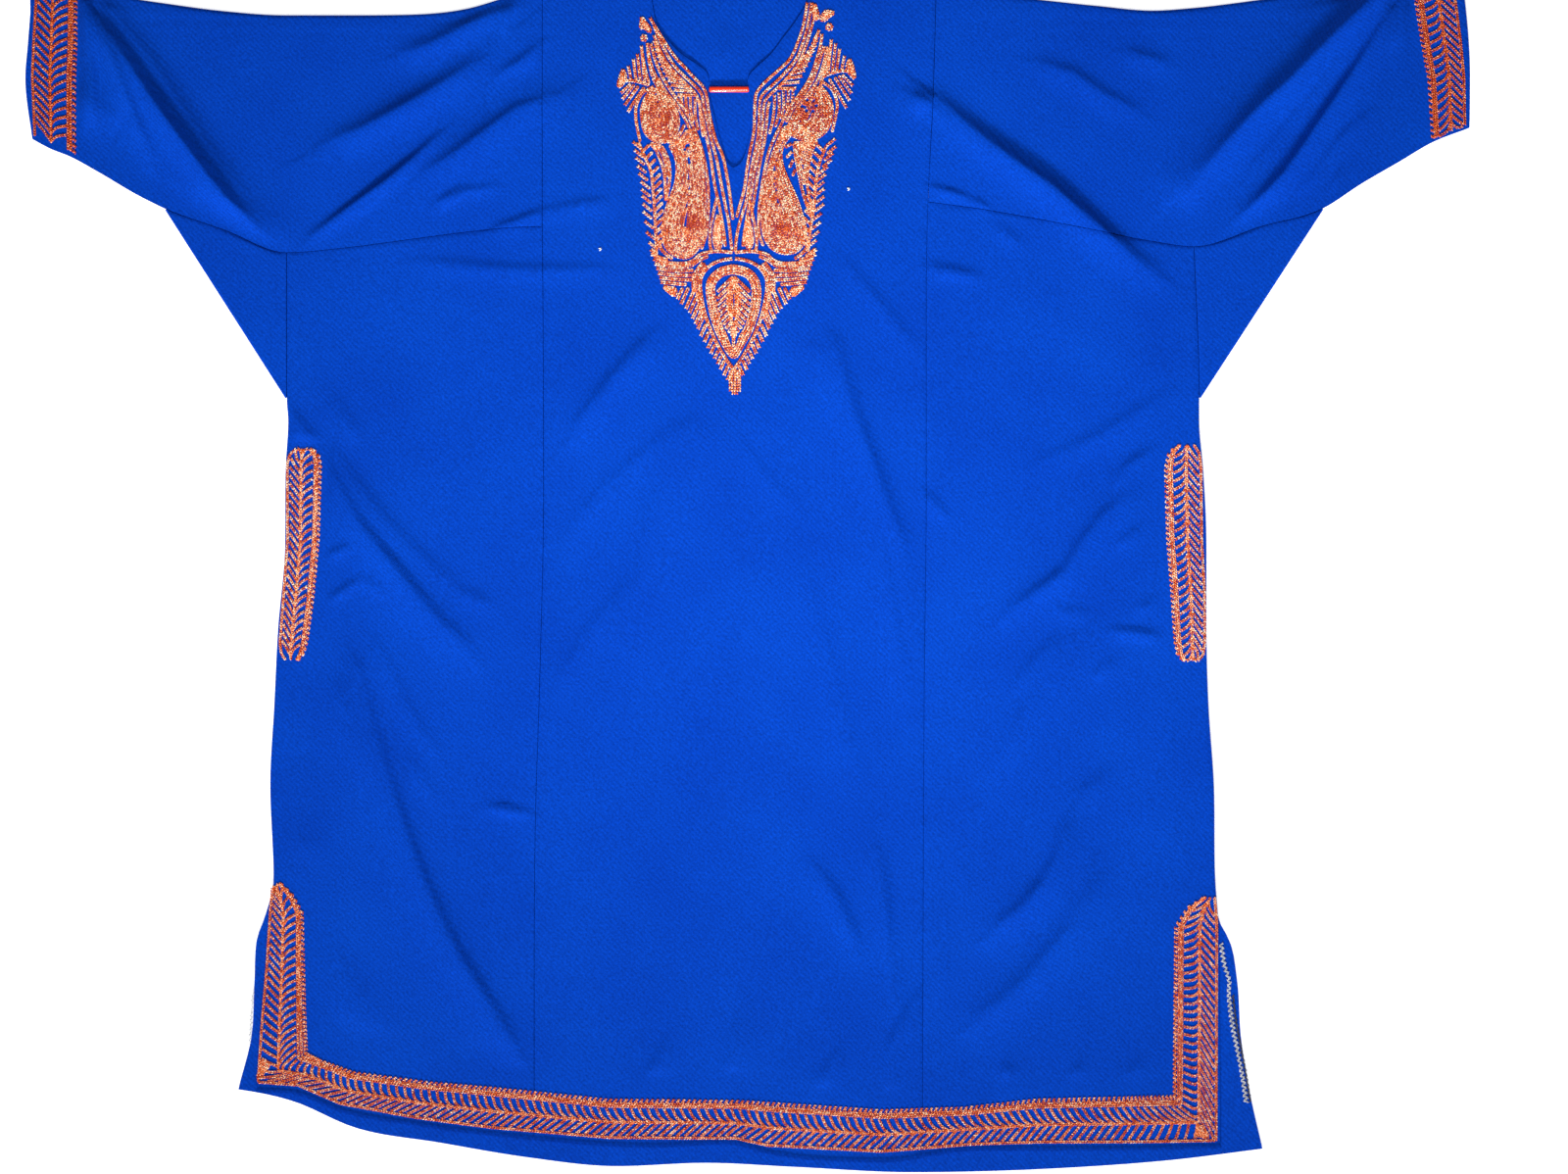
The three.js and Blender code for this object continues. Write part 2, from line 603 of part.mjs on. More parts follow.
const pheran = new THREE.Group()
pheran.add(
  backCentre(),
  sidePanel('back_side_left', 'left', BACK_SIDES, BACK_HEM, BACK_CELL, backCloth),
  sidePanel('back_side_right', 'right', BACK_SIDES, BACK_HEM, BACK_CELL, backCloth),
  frontCentre(),
  sidePanel('front_side_left', 'left', FRONT_SIDES, FRONT_HEM, FRONT_CELL, frontCloth),
  sidePanel('front_side_right', 'right', FRONT_SIDES, FRONT_HEM, FRONT_CELL, frontCloth),
  sleeve('left', LEFT_SLEEVE, LEFT_GUSSET),
  sleeve('right', RIGHT_SLEEVE, RIGHT_GUSSET),
  gussetPiece('left', LEFT_GUSSET),
  gussetPiece('right', RIGHT_GUSSET),
  yoke(),
  band('embroidery_hem', HEM_BAND, true),
  band('embroidery_pocket_left', LEFT_POCKET_BAND, true),
  band('embroidery_pocket_right', RIGHT_POCKET_BAND, false),
  band('embroidery_cuff_left', LEFT_CUFF_BAND, false),
  band('embroidery_cuff_right', RIGHT_CUFF_BAND, true),
  neckBar(),
)

// The part's origin is in the middle of its outline, on the surface that it lies on
const middle = new THREE.Box3().setFromObject(pheran).getCenter(new THREE.Vector3())
pheran.position.set(-middle.x, -middle.y, 0)

export default pheran
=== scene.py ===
import bpy
import numpy as np
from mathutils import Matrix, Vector


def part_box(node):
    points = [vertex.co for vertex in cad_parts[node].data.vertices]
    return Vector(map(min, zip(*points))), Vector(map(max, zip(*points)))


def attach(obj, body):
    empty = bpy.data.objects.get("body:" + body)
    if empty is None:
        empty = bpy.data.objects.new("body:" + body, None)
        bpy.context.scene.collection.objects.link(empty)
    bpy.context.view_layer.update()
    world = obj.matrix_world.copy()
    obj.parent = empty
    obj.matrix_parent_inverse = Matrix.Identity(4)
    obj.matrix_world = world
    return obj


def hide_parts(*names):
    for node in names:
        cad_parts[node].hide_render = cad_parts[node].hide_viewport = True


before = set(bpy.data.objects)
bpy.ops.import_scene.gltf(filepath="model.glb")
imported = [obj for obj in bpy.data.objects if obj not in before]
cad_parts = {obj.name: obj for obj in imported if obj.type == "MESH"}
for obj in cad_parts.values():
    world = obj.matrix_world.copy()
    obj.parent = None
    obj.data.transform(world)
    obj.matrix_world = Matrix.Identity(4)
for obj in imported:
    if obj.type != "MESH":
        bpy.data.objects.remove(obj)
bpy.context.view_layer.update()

# Back centre: a straight strip of the cloth, longer at the hem than the front and hollowed at the
# neck. It lies on the table with its inner side up, and shows inside the neck and below the front.
# Drawing places are in millimetres: x from the centre front to the viewer's right, y up from the hem.
MM = 0.001
CLOTH = 1.2
GAP = 0.3
SEAM_GAP = 0.4
SEAM_SHIFT = 0.38
BACK_SEAM_GAP = -0.36
BACK_Z = 0.0
FRONT_Z = BACK_Z + CLOTH + GAP
BACK_CELL = 8.0
FRONT_CELL = 2.7
SLEEVE_CELL = 2.0
GUSSET_CELL = 4.0
EDGE_STEPS = (0.7, 1.6, 3.0)
GRID_ROUNDS = 12
SMOOTH_UNDER = np.radians(50)
CURVE_STEPS = 12
BAR_MIDDLE = (-4.45, 809.4)

bar_low, bar_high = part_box("neck_bar")
ORIGIN = np.array([
    (bar_low[0] + bar_high[0]) / 2 - BAR_MIDDLE[0] * MM,
    (bar_low[1] + bar_high[1]) / 2 - BAR_MIDDLE[1] * MM,
    0.0,
])

# y, left seam, right seam
CENTRE_SEAMS = (
    (0, -150, 140), (144, -150, 140.5), (268, -149, 141), (364, -146, 141.5), (510, -143, 143),
    (657, -143.5, 143), (730, -144, 144.5), (803, -144, 148), (910, -144, 151),
)
# x, y
BACK_HEM = (
    (-380, 63), (-372, 62), (-330, 53), (-286, 34), (-220, 22), (-154, 11), (-88, 4.5), (-22, 7),
    (44, 4), (132, 0), (242, 3), (330, 9.5), (394, 17.5),
)
SHOULDER_END_Y = 886
NECK_TOP = {"y": 907, "left": -67, "right": 66}
BACK_NECK_DEPTH = 14
BACK_NECK_ROUNDNESS = 0.6


def column(rows, index):
    """The pairs of the first column of a table and one other."""
    return [(row[0], row[index]) for row in rows]


def smooth(pairs):
    """A smooth line through the pairs (place, value), read off at any place between them."""
    at, value = np.array(sorted(pairs), float).T
    step = np.diff(at)
    slope = np.diff(value) / step
    middle = (slope[:-1] * step[1:] + slope[1:] * step[:-1]) / (step[:-1] + step[1:])
    limit = 3 * np.minimum(abs(slope[:-1]), abs(slope[1:]))
    middle = np.where(slope[:-1] * slope[1:] > 0, np.clip(middle, -limit, limit), 0)
    tangent = np.concatenate([slope[:1], middle, slope[-1:]])

    def read(place):
        place = np.clip(place, at[0], at[-1])
        span = np.clip(np.searchsorted(at, place) - 1, 0, len(step) - 1)
        t = (place - at[span]) / step[span]
        rest = 1 - t
        ends = value[span] * rest ** 2 * (1 + 2 * t) + value[span + 1] * t ** 2 * (3 - 2 * t)
        return ends + step[span] * t * rest * (tangent[span] * rest - tangent[span + 1] * t)

    return read


def steps(length, cell, stops=()):
    """Steps from 0 to 1, even but close together beside both ends and beside each stop."""
    near = np.array(EDGE_STEPS) / length
    marks = [0.0, *near, *(1 - near), 1.0]
    for stop in stops:
        marks += [stop, *(stop - near), *(stop + near)]
    marks = sorted(marks)
    filled = [marks[0]]
    for mark in marks[1:]:
        span = mark - filled[-1]
        count = max(1, round(span * length / cell))
        filled += [filled[-1] + span * part / count for part in range(1, count)] + [mark]
    return np.array(filled)


def between(left, right, bottom, top, across, up, gap=SEAM_GAP):
    """The places of a grid between four edges: left and right give x from y, the others y from x."""
    u, v = np.meshgrid(across, up)
    start = top(0.0)
    x = left(start) + (right(start) - left(start)) * u
    y = np.full(u.shape, float(start))
    for _ in range(GRID_ROUNDS):
        y = bottom(x) + (top(x) - bottom(x)) * v
        x = left(y) + gap / 2 + (right(y) - left(y) - gap) * u
    return np.stack([x, y], axis=-1)


def layer(place, z):
    """A grid of places as a layer of cloth: its upper and lower points."""
    z = np.broadcast_to(z, place.shape[:-1])
    lower = np.concatenate([place, z[..., None]], axis=-1)
    return lower + [0, 0, CLOTH], lower


def cloth_wall(name, patches, material):
    """A closed wall of cloth through grids of upper and lower points, with its rims closed."""
    upper = np.concatenate([grid.reshape(-1, 3) for grid, _ in patches])
    lower = np.concatenate([grid.reshape(-1, 3) for _, grid in patches])
    _, first, shared = np.unique(np.round(upper, 3), axis=0, return_index=True, return_inverse=True)
    shared = shared.reshape(-1)
    quads = []
    start = 0
    for grid, _ in patches:
        rows, cols = grid.shape[:2]
        index = shared[start:start + rows * cols].reshape(rows, cols)
        start += rows * cols
        corners = (index[:-1, :-1], index[:-1, 1:], index[1:, 1:], index[1:, :-1])
        quads.append(np.stack([corner.reshape(-1) for corner in corners], axis=1))
    quads = np.concatenate(quads)
    count = len(first)
    ends = np.stack([quads.reshape(-1), np.roll(quads, -1, axis=1).reshape(-1)], axis=1)
    codes = ends[:, 0] * count + ends[:, 1]
    rim = ends[~np.isin(codes, ends[:, 1] * count + ends[:, 0])]
    sides = np.stack([rim[:, 1], rim[:, 0], rim[:, 0] + count, rim[:, 1] + count], axis=1)
    faces = np.concatenate([quads, quads[:, ::-1] + count, sides])
    points = np.concatenate([upper[first], lower[first]]) * MM + ORIGIN
    mesh = bpy.data.meshes.new(name)
    mesh.from_pydata(points.tolist(), [], faces.tolist())
    mesh.materials.append(material)
    piece = bpy.data.objects.new(name, mesh)
    bpy.context.scene.collection.objects.link(piece)
    bpy.ops.object.select_all(action="DESELECT")
    piece.select_set(True)
    bpy.context.view_layer.objects.active = piece
    bpy.ops.object.shade_smooth_by_angle(angle=SMOOTH_UNDER)
    return piece


def node_of(tree, kind, **values):
    """Adds a node to a material, with its inputs set by name."""
    made = tree.nodes.new(kind)
    for key, value in values.items():
        if hasattr(made, key):
            setattr(made, key, value)
        else:
            made.inputs[key.replace("_", " ").title()].default_value = value
    return made


def pheran_cloth():
    """Fine wool-blend twill, dyed bright blue, matt, with a short nap and slightly uneven dye."""
    material = bpy.data.materials.new("blue twill")
    material.use_nodes = True
    tree = material.node_tree
    shader = tree.nodes["Principled BSDF"]
    shader.inputs["Roughness"].default_value = 0.82
    shader.inputs["Specular IOR Level"].default_value = 0.03
    shader.inputs["Sheen Weight"].default_value = 0.04
    shader.inputs["Sheen Roughness"].default_value = 0.5
    shader.inputs["Sheen Tint"].default_value = (0.05, 0.25, 1.0, 1.0)
    where = tree.nodes.new("ShaderNodeTexCoord").outputs["Object"]

    def texture(kind, **values):
        made = node_of(tree, kind, **values)
        tree.links.new(where, made.inputs["Vector"])
        return made

    dye = texture("ShaderNodeTexNoise", scale=9.0, detail=3.0, roughness=0.55)
    fibre = texture("ShaderNodeTexNoise", scale=560.0, detail=3.0, roughness=0.75)
    twill = texture("ShaderNodeTexWave", bands_direction="DIAGONAL", scale=150.0, distortion=2.5, detail=2.0)

    blues = tree.nodes.new("ShaderNodeValToRGB")
    blues.color_ramp.elements[0].position = 0.3
    blues.color_ramp.elements[0].color = (0.0003, 0.0345, 0.342, 1)
    blues.color_ramp.elements[1].position = 0.72
    blues.color_ramp.elements[1].color = (0.0005, 0.0438, 0.392, 1)
    tree.links.new(dye.outputs["Fac"], blues.inputs["Fac"])

    speckle = node_of(tree, "ShaderNodeMapRange", from_min=0.32, from_max=0.68, to_min=0.74, to_max=1.26)
    tree.links.new(fibre.outputs["Fac"], speckle.inputs["Value"])
    lines = node_of(tree, "ShaderNodeMapRange", to_min=0.92, to_max=1.08)
    tree.links.new(twill.outputs["Fac"], lines.inputs["Value"])
    grain = node_of(tree, "ShaderNodeMath", operation="MULTIPLY")
    tree.links.new(speckle.outputs["Result"], grain.inputs[0])
    tree.links.new(lines.outputs["Result"], grain.inputs[1])
    woven = node_of(tree, "ShaderNodeVectorMath", operation="SCALE")
    tree.links.new(blues.outputs["Color"], woven.inputs[0])
    tree.links.new(grain.outputs["Value"], woven.inputs["Scale"])
    tree.links.new(woven.outputs["Vector"], shader.inputs["Base Color"])

    height = node_of(tree, "ShaderNodeMath", operation="MULTIPLY_ADD")
    height.inputs[1].default_value = 0.5
    tree.links.new(twill.outputs["Fac"], height.inputs[0])
    tree.links.new(fibre.outputs["Fac"], height.inputs[2])
    bump = node_of(tree, "ShaderNodeBump", strength=0.5, distance=0.00025)
    tree.links.new(height.outputs["Value"], bump.inputs["Height"])
    tree.links.new(bump.outputs["Normal"], shader.inputs["Normal"])
    return material


BLUE_CLOTH = pheran_cloth()


def lay_cloth(name, patches):
    """A cut piece of the cloth, built from its grids in millimetres and shown in place of its part."""
    piece = cloth_wall(name + "_cloth", patches, BLUE_CLOTH)
    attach(piece, "root")
    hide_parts(name)
    return piece


left_seam = smooth(column(CENTRE_SEAMS, 1))
right_seam = smooth(column(CENTRE_SEAMS, 2))
back_hem = smooth(BACK_HEM)


def back_neckline(x):
    """The back's top edge: two shoulders with a shallow hollow between them."""
    left_end, right_end = left_seam(NECK_TOP["y"]), right_seam(NECK_TOP["y"])
    left_rise = (x - left_end) / (NECK_TOP["left"] - left_end)
    right_rise = (right_end - x) / (right_end - NECK_TOP["right"])
    shoulder = SHOULDER_END_Y + (NECK_TOP["y"] - SHOULDER_END_Y) * np.minimum(left_rise, right_rise)
    part = np.clip((x - NECK_TOP["left"]) / (NECK_TOP["right"] - NECK_TOP["left"]), 0, 1)
    hollow = NECK_TOP["y"] - BACK_NECK_DEPTH * np.sin(np.pi * part) ** BACK_NECK_ROUNDNESS
    return np.where((part > 0) & (part < 1), hollow, shoulder)


# Creases of the back that show inside the neck: line, rise, width on the neck side, on the hem side
BACK_CREASES = (
    (((-21, 822), (-11, 836), (-3, 850)), 1.3, 5, 10),
    (((-23, 828), (-17, 844), (-13, 866)), 0.8, 5, 9),
    (((-60, 871), (-52, 864), (-38, 874)), 0.7, 4, 9),
    (((-14, 768), (-8, 790), (-11, 812)), 1.0, 4, 8),
    (((20, 838), (26, 856), (40, 880)), 0.7, 6, 10),
)
BACK_CREASED = {"bottom": (755, 775), "half_width": 62, "side_ease": 14}
STEEP_FALL, SOFT_FALL = 1.4, 2


def crease(x, y, line, rise, steep, soft, ends=0.0):
    """How high one crease lifts the cloth. It is steep on the left of its line and soft on the right.
    ends is the part of the swell that is left out at each end, so that the crease stops short there."""
    line = np.array(line, float)
    nearest = np.full(np.shape(x), np.inf)
    signed = np.zeros(np.shape(x))
    along = np.zeros(np.shape(x))
    spans = len(line) - 1
    for span in range(spans):
        (ax, ay), (bx, by) = line[span], line[span + 1]
        part = ((x - ax) * (bx - ax) + (y - ay) * (by - ay)) / ((bx - ax) ** 2 + (by - ay) ** 2)
        part = np.clip(part, 0, 1)
        distance = np.hypot(x - ax - (bx - ax) * part, y - ay - (by - ay) * part)
        side = np.where((bx - ax) * (y - ay) - (by - ay) * (x - ax) > 0, 1.0, -1.0)
        closer = distance < nearest
        signed = np.where(closer, distance * side, signed)
        along = np.where(closer, (span + part) / spans, along)
        nearest = np.where(closer, distance, nearest)
    swell = np.sqrt(np.clip(np.sin(np.pi * (ends + (1 - 2 * ends) * along)), 0, 1))
    fall = np.where(signed > 0, (nearest / steep) ** STEEP_FALL, (nearest / soft) ** SOFT_FALL)
    return rise * swell * np.exp(-fall)


def ease(value, start, end):
    """0 up to start, 1 from end on, and a soft rise between them."""
    part = np.clip((value - start) / (end - start), 0, 1)
    return part * part * (3 - 2 * part)


def spaced(points, pitch):
    """Places evenly spaced along a line of straight stretches."""
    points = np.array(points, float)
    lengths = np.concatenate([[0], np.cumsum(np.hypot(*np.diff(points, axis=0).T))])
    count = max(1, round(lengths[-1] / pitch))
    at = np.linspace(0, lengths[-1], count + 1)
    return np.stack([np.interp(at, lengths, points[:, axis]) for axis in (0, 1)], axis=1)


def curve(points, pitch):
    """A smooth line through given points, as places evenly spaced along it."""
    points = np.array(points, float)
    if len(points) > 2:
        before = np.vstack([2 * points[0] - points[1], points[:-2]])
        after = np.vstack([points[2:], 2 * points[-1] - points[-2]])
        fine = []
        for p0, p1, p2, p3 in zip(before, points[:-1], points[1:], after):
            for t in np.linspace(0, 1, CURVE_STEPS, endpoint=False):
                bend = 2 * p0 - 5 * p1 + 4 * p2 - p3
                twist = 3 * p1 - p0 - 3 * p2 + p3
                fine.append(0.5 * (2 * p1 + (p2 - p0) * t + bend * t ** 2 + twist * t ** 3))
        points = np.vstack([fine, points[-1]])
    return spaced(points, pitch)


def back_rise(place):
    """Soft creases of the back inside the neck; it lies flat everywhere else."""
    x, y = place[..., 0], place[..., 1]
    rise = sum(crease(x, y, *row) for row in BACK_CREASES)
    within = ease(BACK_CREASED["half_width"] - abs(x), 0, BACK_CREASED["side_ease"])
    return rise * ease(y, *BACK_CREASED["bottom"]) * within


back_width = right_seam(0) - left_seam(0)
neck_stops = [(NECK_TOP[side] - left_seam(NECK_TOP["y"])) / back_width for side in ("left", "right")]
back_place = between(
    left_seam, right_seam, back_hem, back_neckline,
    steps(back_width, BACK_CELL, neck_stops), steps(NECK_TOP["y"], BACK_CELL), BACK_SEAM_GAP,
)
back_upper, back_lower = layer(back_place, BACK_Z)
back_upper[..., 2] += back_rise(back_place)
lay_cloth("back_centre", [(back_upper, back_lower)])

# Back sides: one panel on each side of the centre strip, as long as it and wider below the vents,
# where it shows past the front. The seams beside them are pressed open.
# y, left edge, right edge
FRONT_SIDES = (
    (18, -359, 363), (100, -355, 362.5), (184, -348, 361.5), (220, -345, 359), (290, -347.5, 358),
    (349, -344.5, 354), (408, -341.5, 352.5), (466, -336.5, 352.5), (525, -336, 350),
    (562, -334, 347), (577, -335, 347), (692, -335, 343),
)
BACK_SIDES = (
    (18, -380, 394.5), (60, -372, 385), (100, -362, 378.5), (144, -359.5, 375.5), (173, -358, 370),
    (190, -352, 361.5), *FRONT_SIDES[3:],
)
# x, top fold, lower seam
LEFT_SLEEVE = (
    (-144, 886, 707), (-169, 879, 706), (-200, 870, 703), (-242, 865.5, 697.5), (-292, 865, 691),
    (-335, 865, 687.5), (-381, 868, 704.25), (-427, 874, 721), (-447, 877, 731), (-476, 883, 748),
    (-498, 888, 760), (-512, 892, 765.5), (-526, 896, 773),
)
RIGHT_SLEEVE = (
    (144, 886, 725.5), (187, 881, 719.5), (224, 877, 713), (271, 872, 703.5), (312, 868.5, 696),
    (343, 870.5, 692), (392, 876.5, 706.75), (441, 883, 721.5), (468, 887, 739), (498, 891.5, 756.5),
    (520, 895, 769.5), (549, 899.5, 781),
)
PANEL_WIDTH = 200
PANEL_LENGTH = 650

sleeve_top = {"left": smooth(column(LEFT_SLEEVE, 1)), "right": smooth(column(RIGHT_SLEEVE, 1))}
sleeve_bottom = {"left": smooth(column(LEFT_SLEEVE, 2)), "right": smooth(column(RIGHT_SLEEVE, 2))}
back_side = {"left": smooth(column(BACK_SIDES, 1)), "right": smooth(column(BACK_SIDES, 2))}


def side_place(side, outer_edge, hem, cell):
    """The places of a side panel's grid, from its hem up to the sleeve."""
    return between(
        outer_edge if side == "left" else right_seam,
        left_seam if side == "left" else outer_edge,
        hem,
        lambda x: sleeve_bottom[side](x) - SEAM_GAP / 2,
        steps(PANEL_WIDTH, cell),
        steps(PANEL_LENGTH, cell),
    )


for side in ("left", "right"):
    place = side_place(side, back_side[side], back_hem, BACK_CELL)
    lay_cloth(f"back_side_{side}", [layer(place, BACK_Z)])

# Front centre: the strip that carries the neck. It is whole below the slit, and above it a leg runs
# up on each side of the opening. Its folds and creases are where the cloth settled when it was laid.
# x, y
FRONT_HEM = (
    (-359, 62), (-327, 60), (-295, 47.5), (-239, 37), (-164, 27.5), (-62, 20.5), (-5, 23), (24, 16),
    (110, 9.5), (177, 18), (300, 18.5), (363, 20),
)
SLIT_END = (-1, 751)
LEFT_NECK = (
    SLIT_END, (-6, 755.5), (-10, 768), (-14.7, 786), (-19.6, 806), (-19.8, 818), (-24, 825),
    (-40, 836), (-51.5, 848), (-59, 860), (-62.5, 877), (-67, 907),
)
RIGHT_NECK = (
    SLIT_END, (5, 755.5), (9.5, 768), (11.8, 786), (11, 806), (9.5, 817), (15, 825), (27, 836),
    (36, 848), (45, 860), (55, 877), (66, 907),
)
# Large folds, along the crest: line from left to right, rise, width on the neck side, on the hem side
FOLDS = (
    (((-474, 860), (-432, 799), (-393, 746), (-345, 693)), 8.5, 22, 24),
    (((-310, 766), (-256, 792), (-200, 826), (-170, 850)), 3, 18, 25),
    (((-262, 731), (-222, 753), (-185, 779), (-140, 804)), 4, 22, 27),
    (((-312, 543), (-262, 463), (-203, 395)), 4.5, 16, 24),
    (((-280, 375), (-240, 241), (-203, 159), (-163, 92)), 4.5, 16, 26),
    (((-318, 240), (-300, 160), (-262, 100)), 3, 20, 24),
    (((-84, 400), (-70, 450), (-60, 490), (-42, 550)), 3.4, 18, 26),
    (((-119, 558), (-64, 628)), 2.5, 14, 18),
    (((75, 620), (100, 540), (122, 476), (134, 385)), 3.5, 14, 22),
    (((152, 802), (200, 764), (240, 734), (290, 692)), 4, 14, 30),
    (((340, 740), (391, 796), (432, 836), (498, 898)), 14, 31, 16),
    (((383, 719), (427, 770), (463, 826), (488, 864)), 5, 16, 14),
    (((205, 420), (247, 450), (270, 487), (300, 520)), 3.5, 14, 18),
    (((195, 185), (230, 218), (253, 270)), 4.5, 14, 20),
    (((182, 118), (222, 152), (262, 208)), 4, 16, 20),
    (((196, 300), (222, 365), (255, 400)), 3, 16, 20),
    (((63, 225), (92, 170)), 2.5, 12, 16),
    (((108, 236), (114, 172), (126, 110)), 2.5, 12, 16),
)
# Small creases, along the crest, in the same columns
CREASES = (
    (((-475, 862), (-454, 833), (-432, 799), (-405, 762), (-379, 728), (-345, 693)), 3.4, 6, 12),
    (((-474, 854), (-461, 824), (-449, 792), (-434, 757)), 2.5, 7, 10),
    (((-485, 890), (-482, 850), (-479, 822), (-480, 788)), 2.4, 5, 8),
    (((-495, 808), (-478, 797), (-458, 784)), 1.8, 34, 16),
    (((-467, 872), (-451, 850), (-429, 822), (-400, 776), (-368, 732)), 1.1, 9, 10),
    (((-250, 836), (-228, 843), (-208, 853), (-190, 863), (-170, 876)), 1.9, 9, 12),
    (((-300, 772), (-278, 780), (-256, 792), (-236, 803), (-216, 815), (-196, 828)), 1.9, 9, 13),
    (((-318, 699), (-298, 714), (-272, 733), (-248, 751), (-222, 775)), 1.9, 4, 8),
    (((-232, 747), (-222, 753), (-200, 768), (-170, 791), (-155, 800), (-138, 804)), 1.3, 6, 14),
    (((-177, 820), (-163, 829), (-155, 834), (-146, 843)), 1.1, 5, 8),
    (((-166, 878), (-170, 864), (-173, 850)), 0.9, 5, 7),
    (((-225, 723), (-214, 732), (-203, 737)), 0.9, 3.5, 6),
    (((-217, 724), (-203, 733), (-180, 737)), 0.7, 3.5, 6),
    (((-180, 706), (-158, 713), (-144, 719)), 1.0, 4, 8),
    (((-144, 718), (-112, 725), (-84, 728)), 0.7, 4, 9),
    (((-235, 682), (-169, 676), (-95, 676)), 0.8, 4, 10),
    (((-300, 580), (-290, 562), (-278, 547)), 0.8, 8, 12),
    (((-334, 574), (-312, 543), (-298, 519), (-285, 493), (-262, 463), (-243, 441), (-222, 415), (-200, 396)),
     1.9, 4, 16),
    (((-305, 545), (-280, 512), (-258, 485), (-233, 459), (-208, 439)), 1.1, 7, 12),
    (((-205, 436), (-193, 427), (-181, 425)), 0.8, 5, 9),
    (((-307, 461), (-298, 465), (-288, 468)), 1.0, 3, 5),
    (((-306, 427), (-295, 434), (-282, 443)), 1.0, 3, 5),
    (((-277, 445), (-269, 437), (-261, 431)), 0.8, 3, 5),
    (((-280, 375), (-270, 335), (-258, 294), (-240, 241), (-222, 197), (-203, 159), (-180, 124), (-155, 78)),
     2.0, 4.5, 16),
    (((-268, 397), (-255, 372), (-243, 345), (-220, 311)), 0.9, 6, 11),
    (((-241, 312), (-232, 293), (-222, 277)), 0.7, 6, 10),
    (((-296, 362), (-286, 338), (-274, 296)), 0.8, 7, 11),
    (((-184, 275), (-177, 271), (-165, 269), (-153, 269)), 1.3, 3, 6),
    (((-122, 553), (-98, 587), (-85, 602), (-61, 629)), 1.0, 5, 12),
    (((-128, 473), (-110, 499), (-81, 528), (-44, 557)), 0.6, 6, 14),
    (((-132, 367), (-110, 404), (-81, 440)), 0.6, 6, 14),
    (((75, 622), (84, 584), (100, 540), (114, 500), (127, 468)), 1.3, 6, 13),
    (((107, 476), (114, 450), (120, 408), (130, 352)), 0.8, 5, 14),
    (((4, 548), (24, 520), (46, 498)), 0.5, 6, 12),
    (((51, 462), (73, 374), (95, 286)), 0.6, 8, 18),
    (((84, 770), (89, 741), (95, 715)), 0.6, 4, 8),
    (((82, 682), (104, 656), (139, 612)), 0.7, 5, 10),
    (((63, 226), (77, 207), (92, 170)), 1.0, 4.5, 9),
    (((109, 236), (112, 215), (114, 170)), 1.2, 5, 9),
    (((114, 50), (115, 90), (124, 112), (138, 137)), 1.3, 4, 9),
    (((-77, 57), (-63, 75), (-52, 98)), 1.0, 5, 12),
    (((-14, 57), (-4, 84), (2, 116)), 0.8, 6, 12),
    (((56, 55), (66, 74), (78, 92)), 0.9, 5, 11),
    (((132, 806), (140, 800), (147, 797)), 1.6, 6, 10),
    (((152, 802), (180, 777), (200, 763), (220, 748), (240, 735), (260, 717), (290, 692), (315, 674)),
     2.6, 8, 14),
    (((225, 830), (255, 821), (276, 806), (302, 793)), 1.2, 7, 12),
    (((292, 838), (306, 832), (324, 829)), 0.9, 7, 10),
    (((147, 737), (160, 734), (175, 729)), 1.0, 3, 6),
    (((178, 727), (184, 724), (190, 721)), 0.8, 3, 5),
    (((196, 708), (205, 701), (214, 694)), 0.7, 4, 7),
    (((146, 677), (160, 674), (181, 671)), 1.2, 4, 7),
    (((348, 747), (370, 773), (391, 796), (413, 815), (446, 850), (500, 900)), 3.1, 9, 12),
    (((362, 696), (383, 719), (409, 746), (435, 784), (463.5, 826), (490, 868)), 3.0, 5.5, 11),
    (((379, 743), (408, 777), (444.5, 822), (478.5, 863)), 0.9, 5, 10),
    (((418.6, 727), (437.7, 753), (459.5, 783), (471, 791)), 0.9, 5, 9),
    (((441, 725), (446.5, 734), (451.5, 748)), 0.9, 3, 5),
    (((490, 840), (497, 858), (503, 878)), 0.9, 6, 7),
    (((205, 421), (225, 435), (247, 451), (256, 468), (270, 487), (291, 506)), 1.5, 4, 11),
    (((282, 513), (288, 523), (297, 533), (309, 540)), 1.2, 4, 8),
    (((225, 531), (258, 544), (290, 562), (320, 581)), 0.9, 6, 12),
    (((284, 467), (292, 474), (300, 482)), 1.0, 4, 7),
    (((143, 508), (150, 500), (159, 490)), 0.9, 4, 7),
    (((281, 406), (300, 404), (323, 401)), 1.2, 3, 6),
    (((298, 420), (308, 426), (322, 432)), 0.7, 4, 7),
    (((240, 421), (250, 423), (264, 418)), 0.7, 5, 8),
    (((208, 362), (221, 381), (240, 400)), 0.9, 5, 10),
    (((202, 310), (212, 338), (226, 360)), 0.7, 6, 12),
    (((264, 369), (273, 376), (284, 384)), 0.7, 5, 9),
    (((194, 184), (215, 200), (230, 218), (240, 236), (247, 262)), 1.8, 4.5, 12),
    (((250, 280), (262, 286), (280, 302)), 0.8, 7, 12),
    (((180, 116), (210, 137), (232, 163), (256, 193), (266, 232)), 1.4, 7, 12),
    (((201, 53), (204, 67), (201, 82)), 1.5, 4, 8),
    (((244, 58), (252, 70), (257, 82)), 1.1, 4, 8),
    (((284, 60), (292, 71), (302, 84)), 0.7, 5, 9),
    (((301, 250), (314, 301), (323, 360)), 0.6, 7, 14),
    (((149, 132), (151, 168), (155, 202)), 0.7, 5, 8),
    (((359, 217), (358, 290), (352, 378)), 0.5, 6, 10),
)
